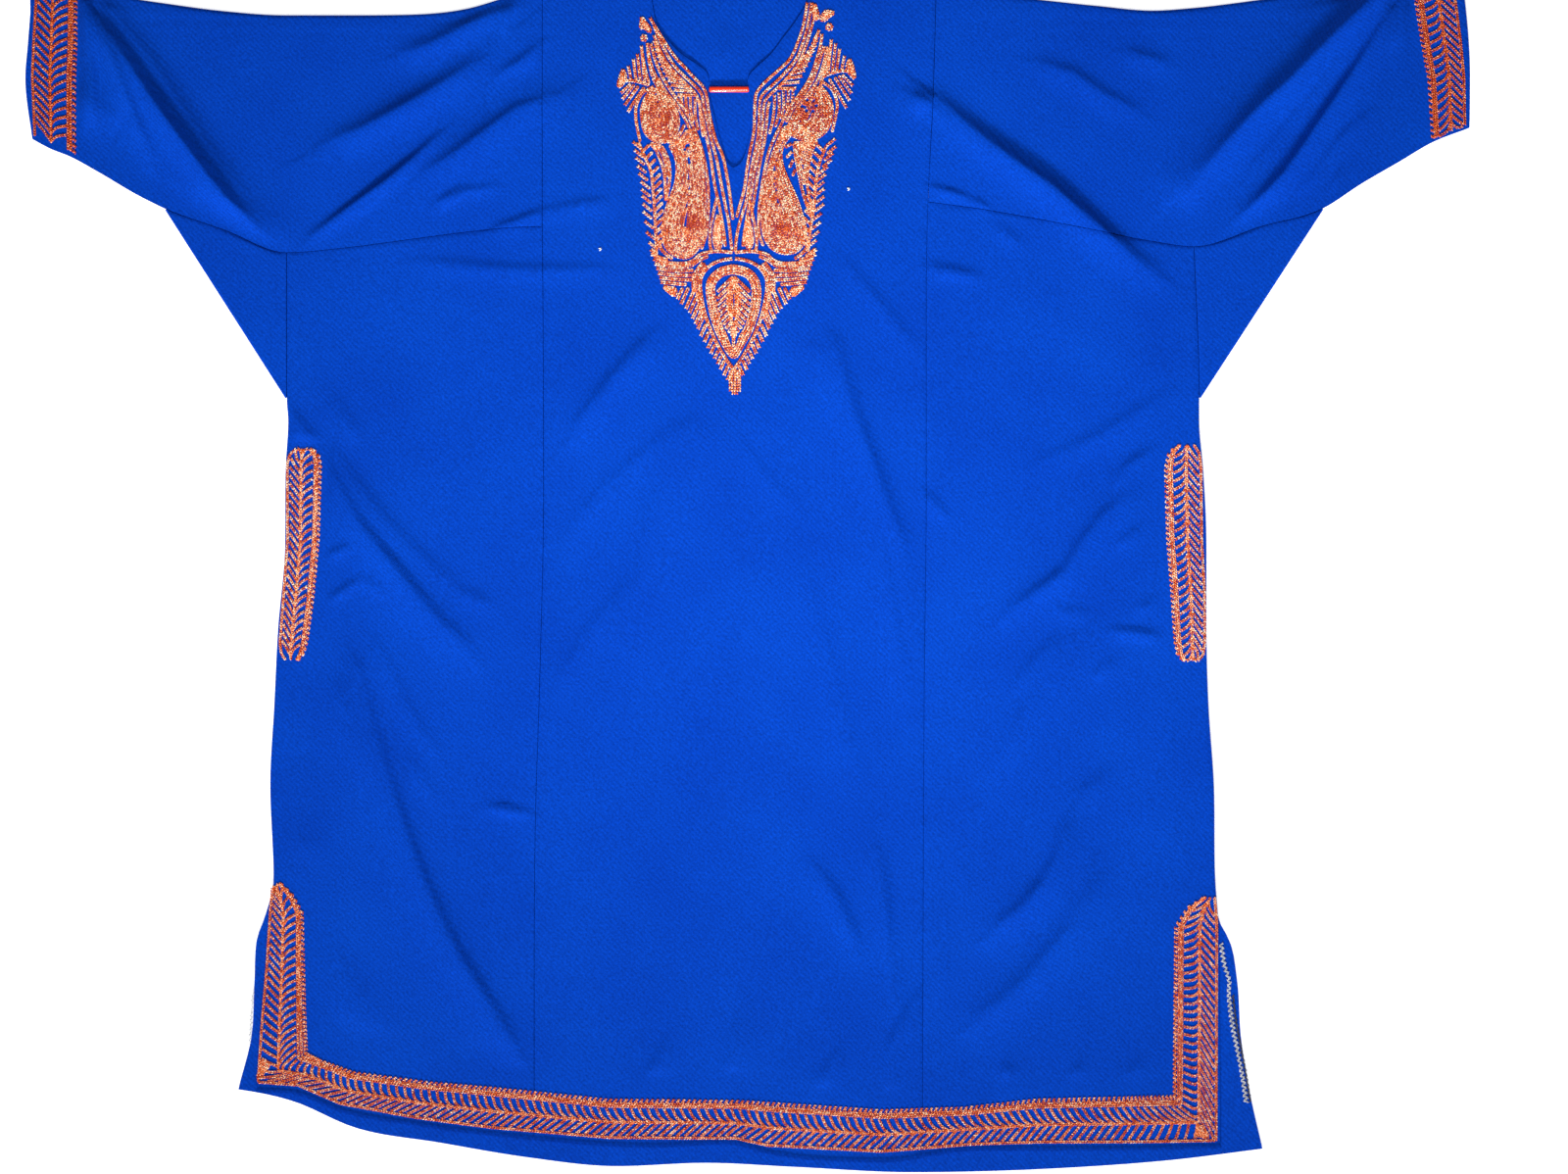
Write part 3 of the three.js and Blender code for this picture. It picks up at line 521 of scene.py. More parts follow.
# Places that the stitching keeps flat: left, right, bottom, top
STIFFENED = (
    (-92, 92, 700, 910), (-62, 62, 636, 700), (-26, 26, 578, 636), (-345, -306, 380, 544),
    (318, 356, 380, 546), (-360, -318, 0, 222), (326, 364, 0, 210), (-532, -493, 760, 900),
    (507, 552, 760, 900),
)
HEM_BAND_DEPTH = 50
HELD, EASE_IN = 6, 26
TOP_EASE = 12
CREASE_HELD, CREASE_EASE_IN = 0, 8
FOLD_HALF = (FRONT_Z + CLOTH - BACK_Z) / 2
ARMPIT = {"left": (-335, 687.5), "right": (343, 692)}
# How close to a seam counts as on it, and how far past the armpit the side's edge reaches
ON_SEAM, ABOVE_ARMPIT = 1, 4
# The side's edge counts only from this far below the sleeve's seam, where the two are sewn together
UNDER_SLEEVE = 0.5
# y, left cuff, right cuff
CUFF_EDGES = (
    (770, -525, 549), (818, -530.5, 549.5), (845, -528.5, 548.5), (877, -526.5, 545.5), (900, -528, 542.5),
)
FOLD_LIFT, FOLD_STEEPNESS = 0.6, 0.6
CREASE_LIFT, CREASE_STEEPNESS = 2.0, 0.62
FOLD_ENDS, CREASE_ENDS = 0.12, 0.03
CREASE_PITCH = 25
# The least share of their rise that small creases keep on the stitching
CREASE_LEAST = 0.2
# How far the cloth stands up between the seams, and how its surface waves, ripples and puckers there
LOFT = 0.55
WAVE, RIPPLE = 0.18, 0.1
SEAM_WIDTH, SEAM_ROUNDNESS = 1.3, 1.5
PUCKER, PUCKER_REACH = 0.13, 7
# The loft is lower round the neck: there down to this share, from the first distance to the second
NECK_LOFT, NECK_EASE, SLIT_TOP_Y = 0.25, (20, 80), 760
# A fold and the neck's edge count as nearer than they are, so that the cloth stays round beside them
TOP_FOLD_NEARNESS, NECK_NEARNESS = 0.6, 0.7
HEM_RIDGE, HEM_RIDGE_WIDTH = 1.1, 1.6

front_hem = smooth(FRONT_HEM)
front_side = {"left": smooth(column(FRONT_SIDES, 1)), "right": smooth(column(FRONT_SIDES, 2))}
cuff_edge = {"left": smooth(column(CUFF_EDGES, 1)), "right": smooth(column(CUFF_EDGES, 2))}
neck_edge = {
    "left": smooth([(y, x) for x, y in LEFT_NECK]),
    "right": smooth([(y, x) for x, y in RIGHT_NECK]),
}


def flatness(x, y, held, ease_in):
    """1 where the cloth is free to fold, down to 0 where stitching or an edge keeps it flat."""
    free = ease(y - front_hem(x) - HEM_BAND_DEPTH, held, ease_in)
    for low_x, high_x, low_y, high_y in STIFFENED:
        out_x = np.maximum(np.maximum(low_x - x, x - high_x), 0)
        out_y = np.maximum(np.maximum(low_y - y, y - high_y), 0)
        free = free * ease(np.hypot(out_x, out_y), held, ease_in)
    sides = ease(x - front_side["left"](y), 0, ease_in) * ease(front_side["right"](y) - x, 0, ease_in)
    sleeve_seam = np.where(x < 0, sleeve_bottom["left"](x), sleeve_bottom["right"](x))
    return free * np.where(y < sleeve_seam - UNDER_SLEEVE, sides, 1)


def sleeve_flatness(x, y):
    """As flatness, for a sleeve: its top fold lies flat, and so does its free lower edge."""
    free = 1.0
    for side, outside in (("left", x < left_seam(y)), ("right", x > right_seam(y))):
        top, bottom = sleeve_top[side](x), sleeve_bottom[side](x)
        beyond = abs(ARMPIT[side][0])
        lower = (y - bottom < (top - bottom) / 2) * (1 - ease(abs(x), beyond - EASE_IN, beyond))
        both = ease(top - y, FOLD_HALF, TOP_EASE) * ease(y - bottom, 0, EASE_IN)
        on_sleeve = outside & (y > bottom - ON_SEAM)
        free = free * np.where(on_sleeve, both * (1 - lower) + lower, 1)
    return free


def seam_distance(x, y):
    """How far a place on the front lies from the nearest seam, edge or fold."""
    near = np.minimum(abs(x - left_seam(y)), abs(x - right_seam(y)))
    for side, outside in (("left", x < left_seam(y) + ON_SEAM), ("right", x > right_seam(y) - ON_SEAM)):
        low = y < ARMPIT[side][1] + ABOVE_ARMPIT
        below_seam = sleeve_bottom[side](x) - y
        for here, distance in (
            (outside & (below_seam > 0), below_seam),
            (outside & ~low, (sleeve_top[side](x) - y) * TOP_FOLD_NEARNESS),
            (outside & ~low, x - cuff_edge[side](y)),
            (low, x - front_side[side](y)),
            (y > SLIT_END[1], (x - neck_edge[side](y)) * NECK_NEARNESS),
        ):
            near = np.where(here, np.minimum(near, abs(distance)), near)
    return near


def front_rise(x, y):
    """How high the front's cloth lies above the flat place that its lower side could have."""
    large = sum(
        crease(x, y, line, rise * FOLD_LIFT, steep * FOLD_STEEPNESS, soft, FOLD_ENDS)
        for line, rise, steep, soft in FOLDS
    )
    small = sum(
        crease(x, y, curve(line, CREASE_PITCH), rise * CREASE_LIFT, steep * CREASE_STEEPNESS, soft,
               CREASE_ENDS)
        for line, rise, steep, soft in CREASES
    )
    # The waves are uneven, as each one's length is drifted by the sine of another, in millimetres
    wave = np.sin(x / 37 + 0.8 * np.sin(y / 61)) * np.sin(y / 53 + 1.1 * np.sin(x / 83) + 1.3)
    ripple = np.sin(x / 13 + y / 29 + np.sin(y / 47)) * np.sin(y / 17 - x / 41)
    free = flatness(x, y, HELD, EASE_IN)
    nearly_free = CREASE_LEAST + (1 - CREASE_LEAST) * flatness(x, y, CREASE_HELD, CREASE_EASE_IN)
    distance = seam_distance(x, y)
    loft = 1 - np.exp(-(distance / SEAM_WIDTH) ** SEAM_ROUNDNESS)
    pucker = PUCKER * np.sin(y / 2.3 + 2 * np.sin(y / 9.7)) * np.exp(-distance / PUCKER_REACH)
    from_slit = np.hypot(x, np.maximum(SLIT_TOP_Y - y, 0))
    by_neck = NECK_LOFT + (1 - NECK_LOFT) * ease(from_slit, *NECK_EASE)
    return (
        sleeve_flatness(x, y) * (large * free + small * nearly_free)
        + loft * by_neck * (LOFT + pucker + WAVE * wave * free + RIPPLE * ripple * nearly_free)
        + HEM_RIDGE * np.exp(-((y - front_hem(x)) / HEM_RIDGE_WIDTH) ** 2)
    )


def front_layer(place):
    """The front's two sides over a grid of places."""
    return layer(place, FRONT_Z + front_rise(place[..., 0], place[..., 1]))


CENTRE_WIDTH = 288
NECK_PITCH = 2.6
slit_share = (SLIT_END[0] - left_seam(SLIT_END[1])) / (right_seam(SLIT_END[1]) - left_seam(SLIT_END[1]))
centre_across = steps(CENTRE_WIDTH, FRONT_CELL, [slit_share])
split = int(np.argmin(abs(centre_across - slit_share)))
# The cloth goes on above the slit's end, so the close steps below it are left out
centre_up = np.delete(steps(SLIT_END[1], FRONT_CELL), [-2, -3, -4])
below = between(left_seam, right_seam, front_hem, lambda x: SLIT_END[1] + 0 * x, centre_across, centre_up)


def neck_leg(start, seam, inset, neck_line, neck_last):
    """The rows of the leg beside the opening, from the end of the slit up to the shoulder."""
    part = (start[:, 0] - start[0, 0]) / (start[-1, 0] - start[0, 0])
    to_neck = part if neck_last else 1 - part
    rows = [start]
    for neck_x, neck_y in curve(neck_line, NECK_PITCH)[1:]:
        rise = (neck_y - SLIT_END[1]) / (NECK_TOP["y"] - SLIT_END[1])
        seam_y = SLIT_END[1] + (SHOULDER_END_Y - SLIT_END[1]) * rise
        seam_x = seam(seam_y) + inset
        row_x = seam_x + (neck_x - seam_x) * to_neck
        row_y = seam_y + (neck_y - seam_y) * to_neck
        rows.append(np.stack([row_x, row_y], -1))
    return np.stack(rows)


left_leg = neck_leg(below[-1, :split + 1], left_seam, SEAM_GAP / 2, LEFT_NECK, True)
right_leg = neck_leg(below[-1, split:], right_seam, -SEAM_GAP / 2, RIGHT_NECK, False)
lay_cloth(
    "front_centre", [front_layer(below), front_layer(left_leg), front_layer(right_leg)],
)

# Front sides: a panel on each side of the front's centre strip, from the sleeve down to the hem.
# Their outer edges are sewn to the back down to the vents.
for side in ("left", "right"):
    place = side_place(side, front_side[side], front_hem, FRONT_CELL)
    lay_cloth(
        f"front_side_{side}", [front_layer(place)],
    )

# Sleeves: each is one straight piece folded along the top, sewn to the body's straight edge, wide
# and cut off above the wrist. Its front has the folds, and its back lies flat under it.
FOLD_TURNS = np.radians([22, 45, 67, 90, 113, 135, 158])
UNDER_PARTS = (0, 0.25, 0.5, 0.75, 1)
SLEEVE_LENGTH, SLEEVE_DEPTH = 390, 180


def round_fold(place, outward):
    """The cloth turned round a fold, from the front layer to the back one."""
    place = np.asarray(place, float)
    outward = np.broadcast_to(outward, place.shape)
    layers = []
    for radius in (FOLD_HALF, FOLD_HALF - CLOTH):
        rows = []
        for turn in FOLD_TURNS:
            out = place + outward * radius * np.sin(turn)
            z = np.full(out.shape[:-1], BACK_Z + FOLD_HALF + radius * np.cos(turn))
            rows.append(np.concatenate([out, z[..., None]], axis=-1))
        layers.append(np.stack(rows))
    return layers


def folded(front, fold, outward):
    """The grids of a piece that is folded in two: its front, the fold, and its back."""
    front_upper, front_lower = front_layer(front)
    turned_upper, turned_lower = round_fold(fold, outward)
    back_edge = front[0] - np.asarray(outward) * SEAM_SHIFT
    back = np.stack([fold + (back_edge - fold) * part for part in UNDER_PARTS])
    back_upper, back_lower = layer(back, BACK_Z)
    flat_row = layer(fold[None], FRONT_Z)
    return [(
        np.concatenate([front_upper[:-1], flat_row[0], turned_upper, back_lower]),
        np.concatenate([front_lower[:-1], flat_row[1], turned_lower, back_upper]),
    )]


for side in ("left", "right"):
    place = between(
        cuff_edge[side] if side == "left" else right_seam,
        left_seam if side == "left" else cuff_edge[side],
        lambda x: sleeve_bottom[side](x) + SEAM_GAP / 2,
        lambda x: sleeve_top[side](x) - FOLD_HALF,
        steps(SLEEVE_LENGTH, SLEEVE_CELL),
        steps(SLEEVE_DEPTH, SLEEVE_CELL),
    )
    lay_cloth(
        f"sleeve_{side}", folded(place, place[-1], (0.0, 1.0)),
    )

# Gussets: a square of the cloth folded on its diagonal under each arm, which lets the arm lift. It is
# sewn in between the sleeve's lower seam and the side panel.
SLEEVE_END = {"left": (-427, 721), "right": (441, 721.5)}
SIDE_END = {"left": (-335, 577), "right": (347, 577)}
GUSSET_TIP = 0.012
GUSSET_DEPTH = 95


def gusset_grid(side):
    """Rows from the seams in to the fold, along the fold from one tip to the other."""
    low, high, corner = (np.array(end[side], float) for end in (SIDE_END, SLEEVE_END, ARMPIT))
    along = (high - low) / np.hypot(*(high - low))
    outward = np.array([along[1], -along[0]])
    if np.dot(outward, corner - low) > 0:
        outward = -outward
    marks = GUSSET_TIP + (1 - 2 * GUSSET_TIP) * steps(np.hypot(*(high - low)), GUSSET_CELL, [0.5])
    up_side = low[1] + (corner[1] - low[1]) * np.clip(marks * 2, 0, 1)
    out_sleeve = corner[0] + (high[0] - corner[0]) * np.clip(marks * 2 - 1, 0, 1)
    on_side = np.stack([front_side[side](up_side), up_side], -1)
    on_sleeve = np.stack([out_sleeve, sleeve_bottom[side](out_sleeve)], -1)
    seam = np.where((marks < 0.5)[:, None], on_side, on_sleeve) + outward * SEAM_GAP
    fold = low + (high - low) * marks[:, None] - outward * FOLD_HALF
    rows = np.stack([seam + (fold - seam) * part for part in steps(GUSSET_DEPTH, GUSSET_CELL)])
    return (rows if side == "left" else rows[:, ::-1]), outward


for side in ("left", "right"):
    rows, outward = gusset_grid(side)
    lay_cloth(
        f"gusset_{side}", folded(rows, rows[-1], outward),
    )

# Yoke: tilla work, chain stitch in a twisted copper thread, worked close round the neck and the slit.
# Each stitch is two turns of the thread side by side. Paisleys, leaves and fans stand on each side
# of the opening, above a pointed medallion.
LINK = 2.0
ROW = 2.4
GRAIN_LENGTH, GRAIN_WIDTH, GRAIN_HEIGHT = 2.7, 1.15, 1.05
GRAIN_TURN = np.radians(20)
STRAND_GAP = 0.56
SUNK = 0.12
LINE_PITCH, OUTLINE_PITCH, WIDE_PITCH = 0.7, 0.8, 1.5
# How grains differ in size, how far they sway, and how their tints spread towards both ends
GRAIN_SIZES, GRAIN_SWAY, TINT_SPREAD = (0.88, 1.1), 0.06, 0.95


def copper_thread():
    """Twisted metallic thread: copper that is pale on some turns and deep orange on others, with painted
    glints: fine pale specks of painted highlight in its colour.
    """
    material = bpy.data.materials.new("copper tilla thread")
    material.use_nodes = True
    tree = material.node_tree
    shader = tree.nodes["Principled BSDF"]
    shader.inputs["Metallic"].default_value = 0.25
    shader.inputs["Roughness"].default_value = 0.34
    shader.inputs["Specular IOR Level"].default_value = 0.6
    tint = tree.nodes.new("ShaderNodeAttribute")
    tint.attribute_name = "tint"
    where = tree.nodes.new("ShaderNodeTexCoord").outputs["Object"]
    # Painted highlights: a fine noise lifts specks of the colour towards the ramp's pale end, standing in for
    # glints of light on the thread.
    painted_glint_noise = node_of(tree, "ShaderNodeTexNoise", scale=1500.0, detail=1.0)
    tree.links.new(where, painted_glint_noise.inputs["Vector"])
    painted_glint = node_of(tree, "ShaderNodeMapRange", from_min=0.38, from_max=0.64, to_min=-0.40, to_max=0.48)
    tree.links.new(painted_glint_noise.outputs["Fac"], painted_glint.inputs["Value"])
    mixed = node_of(tree, "ShaderNodeMath", operation="ADD")
    tree.links.new(tint.outputs["Fac"], mixed.inputs[0])
    tree.links.new(painted_glint.outputs["Result"], mixed.inputs[1])
    # The ramp runs from deep orange up to the pale colour of the painted glints.
    ramp = tree.nodes.new("ShaderNodeValToRGB")
    ramp.color_ramp.elements[0].color = (0.36, 0.018, 0.001, 1)
    ramp.color_ramp.elements[1].color = (0.97, 0.83, 0.6, 1)
    for place, colour in ((0.22, (0.64, 0.064, 0.002, 1)), (0.68, (0.88, 0.2, 0.006, 1))):
        ramp.color_ramp.elements.new(place).color = colour
    tree.links.new(mixed.outputs["Value"], ramp.inputs["Fac"])
    tree.links.new(ramp.outputs["Color"], shader.inputs["Base Color"])
    strands = node_of(tree, "ShaderNodeTexNoise", scale=2600.0, detail=1.0)
    tree.links.new(where, strands.inputs["Vector"])
    bump = node_of(tree, "ShaderNodeBump", strength=0.4, distance=0.0002)
    tree.links.new(strands.outputs["Fac"], bump.inputs["Height"])
    tree.links.new(bump.outputs["Normal"], shader.inputs["Normal"])
    return material


def one_grain():
    """One turn of thread, modelled once: a small ball drawn out along the stitch."""
    bpy.ops.object.select_all(action="DESELECT")
    bpy.ops.mesh.primitive_uv_sphere_add(segments=4, ring_count=3, radius=0.5)
    grain = bpy.context.object
    bpy.ops.object.mode_set(mode="EDIT")
    bpy.ops.mesh.select_all(action="SELECT")
    bpy.ops.transform.rotate(value=np.pi / 2, orient_axis="Y", center_override=(0, 0, 0))
    bpy.ops.transform.resize(value=(GRAIN_LENGTH, GRAIN_WIDTH, GRAIN_HEIGHT))
    bpy.ops.object.mode_set(mode="OBJECT")
    points = np.array([vertex.co for vertex in grain.data.vertices])
    faces = [list(face.vertices) for face in grain.data.polygons]
    bpy.data.objects.remove(grain)
    return points, faces


COPPER = copper_thread()
GRAIN_POINTS, GRAIN_FACES = one_grain()
chance = np.random.default_rng(7)


def chain_on(line):
    """Chain stitches along a line of close points: rows of x, y and direction."""
    line = spaced(line, LINK)
    step = np.diff(line, axis=0)
    return np.column_stack([(line[:-1] + line[1:]) / 2, np.arctan2(step[:, 1], step[:, 0])])


def chain(*points):
    """Chain stitches along a smooth line through given points."""
    return chain_on(curve(points, LINE_PITCH))


def beside(line, distance):
    """A line moved to its left by a distance."""
    step = np.gradient(np.array(line, float), axis=0)
    normal = np.stack([-step[:, 1], step[:, 0]], axis=1) / np.hypot(*step.T)[:, None]
    return line + normal * distance


def filled(outline, core, rows=99):
    """Rows of chain stitch inside a closed outline, one inside the other, in to its core."""
    rim = curve([*outline, outline[0]], OUTLINE_PITCH)
    spine = curve(core, OUTLINE_PITCH) if len(core) > 1 else np.array(core, float)
    apart = np.hypot(*(spine[None] - rim[:, None]).transpose(2, 0, 1))
    target, reach = spine[apart.argmin(axis=1)], apart.min(axis=1)
    laid = []
    for row in range(rows):
        depth = ROW * (row + 0.5)
        inside = reach > depth
        if not inside.any():
            break
        moved = rim + (target - rim) * np.minimum(depth / reach, 1)[:, None]
        cuts = np.flatnonzero(np.diff(inside.astype(int))) + 1
        for run in np.split(np.arange(len(rim)), cuts):
            if inside[run[0]] and len(run) > 3:
                laid.append(chain_on(moved[run]))
    return laid


def on_front(x, y):
    """The height of the front's upper side."""
    return FRONT_Z + CLOTH + front_rise(x, y)


def lay_stitches(name, stitches, material, tints, surface=on_front, width=1.0):
    """All the stitches of one piece of needlework as one mesh, lying on the cloth.
    tints are the shades of its darkest and palest turns. width is one number, or one for each stitch."""
    x, y, turn = np.vstack(stitches).T
    width = np.broadcast_to(width, x.shape)[:, None]
    sides = np.array([-1.0, 1.0])
    base_z = surface(x, y) + GRAIN_HEIGHT / 2 - SUNK
    across = sides[None] * STRAND_GAP * width
    centre_x = (x[:, None] - np.sin(turn)[:, None] * across).reshape(-1)
    centre_y = (y[:, None] + np.cos(turn)[:, None] * across).reshape(-1)
    centre_z = np.repeat(base_z, 2)
    angle = (turn[:, None] - sides[None] * GRAIN_TURN).reshape(-1)
    count = len(angle)
    size = chance.uniform(*GRAIN_SIZES, count)[:, None]
    angle = angle + chance.normal(0, GRAIN_SWAY, count)
    local = GRAIN_POINTS[None] * size[..., None]
    local[..., 1] *= np.repeat(width, 2, axis=0)
    turned_x = local[..., 0] * np.cos(angle)[:, None] - local[..., 1] * np.sin(angle)[:, None]
    turned_y = local[..., 0] * np.sin(angle)[:, None] + local[..., 1] * np.cos(angle)[:, None]
    points = np.stack([
        turned_x + centre_x[:, None],
        turned_y + centre_y[:, None],
        local[..., 2] + centre_z[:, None],
    ], axis=-1)
    vertex_count = len(GRAIN_POINTS)
    faces = [[start + corner for corner in face]
             for start in range(0, count * vertex_count, vertex_count) for face in GRAIN_FACES]
    mesh = bpy.data.meshes.new(name)
    mesh.from_pydata((points.reshape(-1, 3) * MM + ORIGIN).tolist(), [], faces)
    tint = mesh.attributes.new("tint", "FLOAT", "POINT")
    shade = tints[0] + (tints[1] - tints[0]) * chance.beta(TINT_SPREAD, TINT_SPREAD, count)
    for deep_x, deep_y, radius, amount in DEEP_SPOTS:
        off = np.hypot(centre_x - deep_x, centre_y - deep_y)
        shade = shade - amount * np.exp(-(off / radius) ** 2)
    shade = np.clip(shade, 0, 1)
    tint.data.foreach_set("value", np.repeat(shade, vertex_count).astype(np.float32))
    mesh.materials.append(material)
    piece = bpy.data.objects.new(name, mesh)
    bpy.context.scene.collection.objects.link(piece)
    bpy.ops.object.select_all(action="DESELECT")
    piece.select_set(True)
    bpy.context.view_layer.objects.active = piece
    bpy.ops.object.shade_smooth()
    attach(piece, "root")
    return piece


# Left half of the yoke. The lines beside the neck and the slit, the innermost first.
LEFT_NECK_LINES = (
    ((-63.6, 863), (-58, 854), (-51.3, 843), (-44, 832.6), (-38.5, 827), (-30.7, 818.4), (-24.7, 812.4),
     (-21.5, 806), (-19.5, 793), (-14.7, 772.6), (-9.5, 760.9), (-6.6, 748.4), (-3.7, 730), (-1.5, 712)),
    ((-60.5, 857), (-54, 842), (-47, 829.5), (-41, 822.5), (-33, 815), (-26.5, 808.5), (-24, 803),
     (-23, 795.7), (-20.6, 785.6), (-17.6, 772), (-14, 758.6), (-11, 742.9), (-7.6, 725), (-4.8, 711.5),
     (-3.2, 698), (-2.1, 688)),
    ((-60.5, 850), (-56, 839), (-50, 828), (-43.5, 820.5), (-35.5, 812.5), (-29, 805.5), (-26.2, 797),
     (-23.4, 784.5), (-20.4, 770), (-17.8, 756.4), (-15.4, 739.6), (-12.4, 726), (-9.8, 712),
     (-8, 700), (-7.1, 692)),
)
RIGHT_NECK_LINES = (
    ((54.2, 874.5), (51.3, 858.3), (47.2, 845), (41.5, 832.7), (33.7, 824.8), (23.6, 815.9), (16.8, 808),
     (15.1, 801.3), (14.6, 787.8), (14, 776.6), (11.2, 763), (9, 749.7), (6.7, 734), (1.1, 713.8)),
    ((57.4, 874.5), (54.4, 857), (50.6, 844), (46, 832.7), (38.1, 822.6), (29.2, 813.6), (20.8, 805.8),
     (18.5, 799), (18, 785.6), (16.8, 772.1), (13.5, 756.4), (11.2, 743), (8.4, 726.1), (3.4, 709.3),
     (1.1, 698), (0.3, 688)),
    ((60, 868), (57.2, 856), (53.4, 843), (48.4, 831), (41, 820), (32, 810.8), (23.8, 803), (21.4, 797),
     (20.8, 785), (19.4, 771.5), (16.2, 756), (13.8, 742.5), (11.2, 727), (8.6, 712), (6.8, 700),
     (5.9, 692)),
    ((26, 800.5), (24.4, 795), (23.7, 785), (22.2, 771.5), (19, 756), (16.7, 742.5), (14.2, 727),
     (11.8, 713)),
)
# Each half: the stem that runs down into the lower paisley, the upper paisley with its rim, the
# lower paisley, the tail that joins them, and the leaf on the outer side. Cores are the middles of
# the filled shapes. The holes are slivers of bare cloth: middle, half width, half height, turn.
LEFT_PAISLEYS = {
    "stem": (
        (-63, 844), (-59.3, 830.5), (-55, 820.4), (-51.6, 814.2), (-46, 805.8), (-41, 799), (-36, 791.2),
        (-30, 779), (-24.6, 764), (-21.2, 748), (-19.8, 731.7), (-20, 714.9), (-21.8, 700.3), (-25, 690),
    ),
    "second row": (
        (-57.5, 818), (-51, 807), (-44.5, 799), (-39.2, 791), (-34, 780.5),
    ),
    "outside": ((-70, 842), (-67.8, 828), (-64.2, 813.5)),
    "upper": (
        (-66.5, 844), (-65.6, 832), (-63.6, 821.5), (-61, 812.5), (-64, 808.5), (-68.3, 802.4), (-71, 794.6),
        (-70.5, 785.6), (-69, 778.9), (-65.5, 773.3), (-58.2, 769.3), (-51, 769.3), (-44, 774.5),
        (-41, 783.5), (-42.2, 792.5), (-47.8, 801.5), (-54, 811.5), (-58.4, 820.4), (-62.3, 831),
        (-64.6, 844),
    ),
    "upper core": ((-56.8, 788), (-58, 800), (-60.5, 813), (-63.5, 830), (-65.4, 842)),
    "rim": ((-60.8, 811.5), (-69, 806.5), (-73.6, 797.5), (-74, 787.8), (-72.6, 778.8), (-70.8, 770.5)),
    "lower": (
        (-32.6, 781), (-27.6, 771), (-23.8, 757), (-22.2, 742), (-21.2, 726), (-21.8, 709), (-24.8, 694),
        (-31, 685), (-38, 682.3), (-46, 684.5), (-52.6, 691.3), (-55, 700), (-54.6, 710.5), (-52.2, 721),
        (-48.6, 730.5), (-45.4, 740), (-44.4, 750), (-45.6, 759), (-49.6, 768), (-44, 770), (-38.6, 776),
    ),
    "lower core": ((-37.5, 706), (-35.5, 726), (-34, 745), (-34.6, 762), (-34.4, 773)),
    "tail": (
        (-63.8, 769.9), (-58.8, 760.9), (-55.4, 751.9), (-53.6, 743), (-53, 731.7), (-51.6, 725),
        (-48.8, 734), (-47.4, 745.2), (-48.6, 756.4), (-53, 766.5), (-58, 769),
    ),
    "tail core": ((-58.5, 765), (-53, 754), (-50.8, 740), (-51.4, 730)),
    "leaf": (
        (-72.2, 770), (-67.2, 758.6), (-62.7, 747.4), (-60.8, 729.5), (-59.8, 713.8), (-59, 698),
        (-58.5, 684),
    ),
    "leaf tips": (
        (-76.5, 770.4), (-75.3, 764.3), (-74.2, 758.6), (-73.1, 752.5), (-72, 746.9), (-70.5, 740.7),
        (-70.1, 735), (-69.5, 730), (-69, 724), (-68.8, 718.3), (-67.6, 711), (-66.4, 703), (-64.4, 695.3),
        (-62.5, 688),
    ),
    "small strokes": (
        ((-50.5, 770), (-43.5, 773), (-37.6, 783)), ((-46.5, 767), (-40.5, 772.5), (-35.2, 779)),
    ),
    "holes": ((-37.2, 776.4, 0.8, 3.4, -35), (-36.6, 766.4, 0.7, 3, -25)),
}
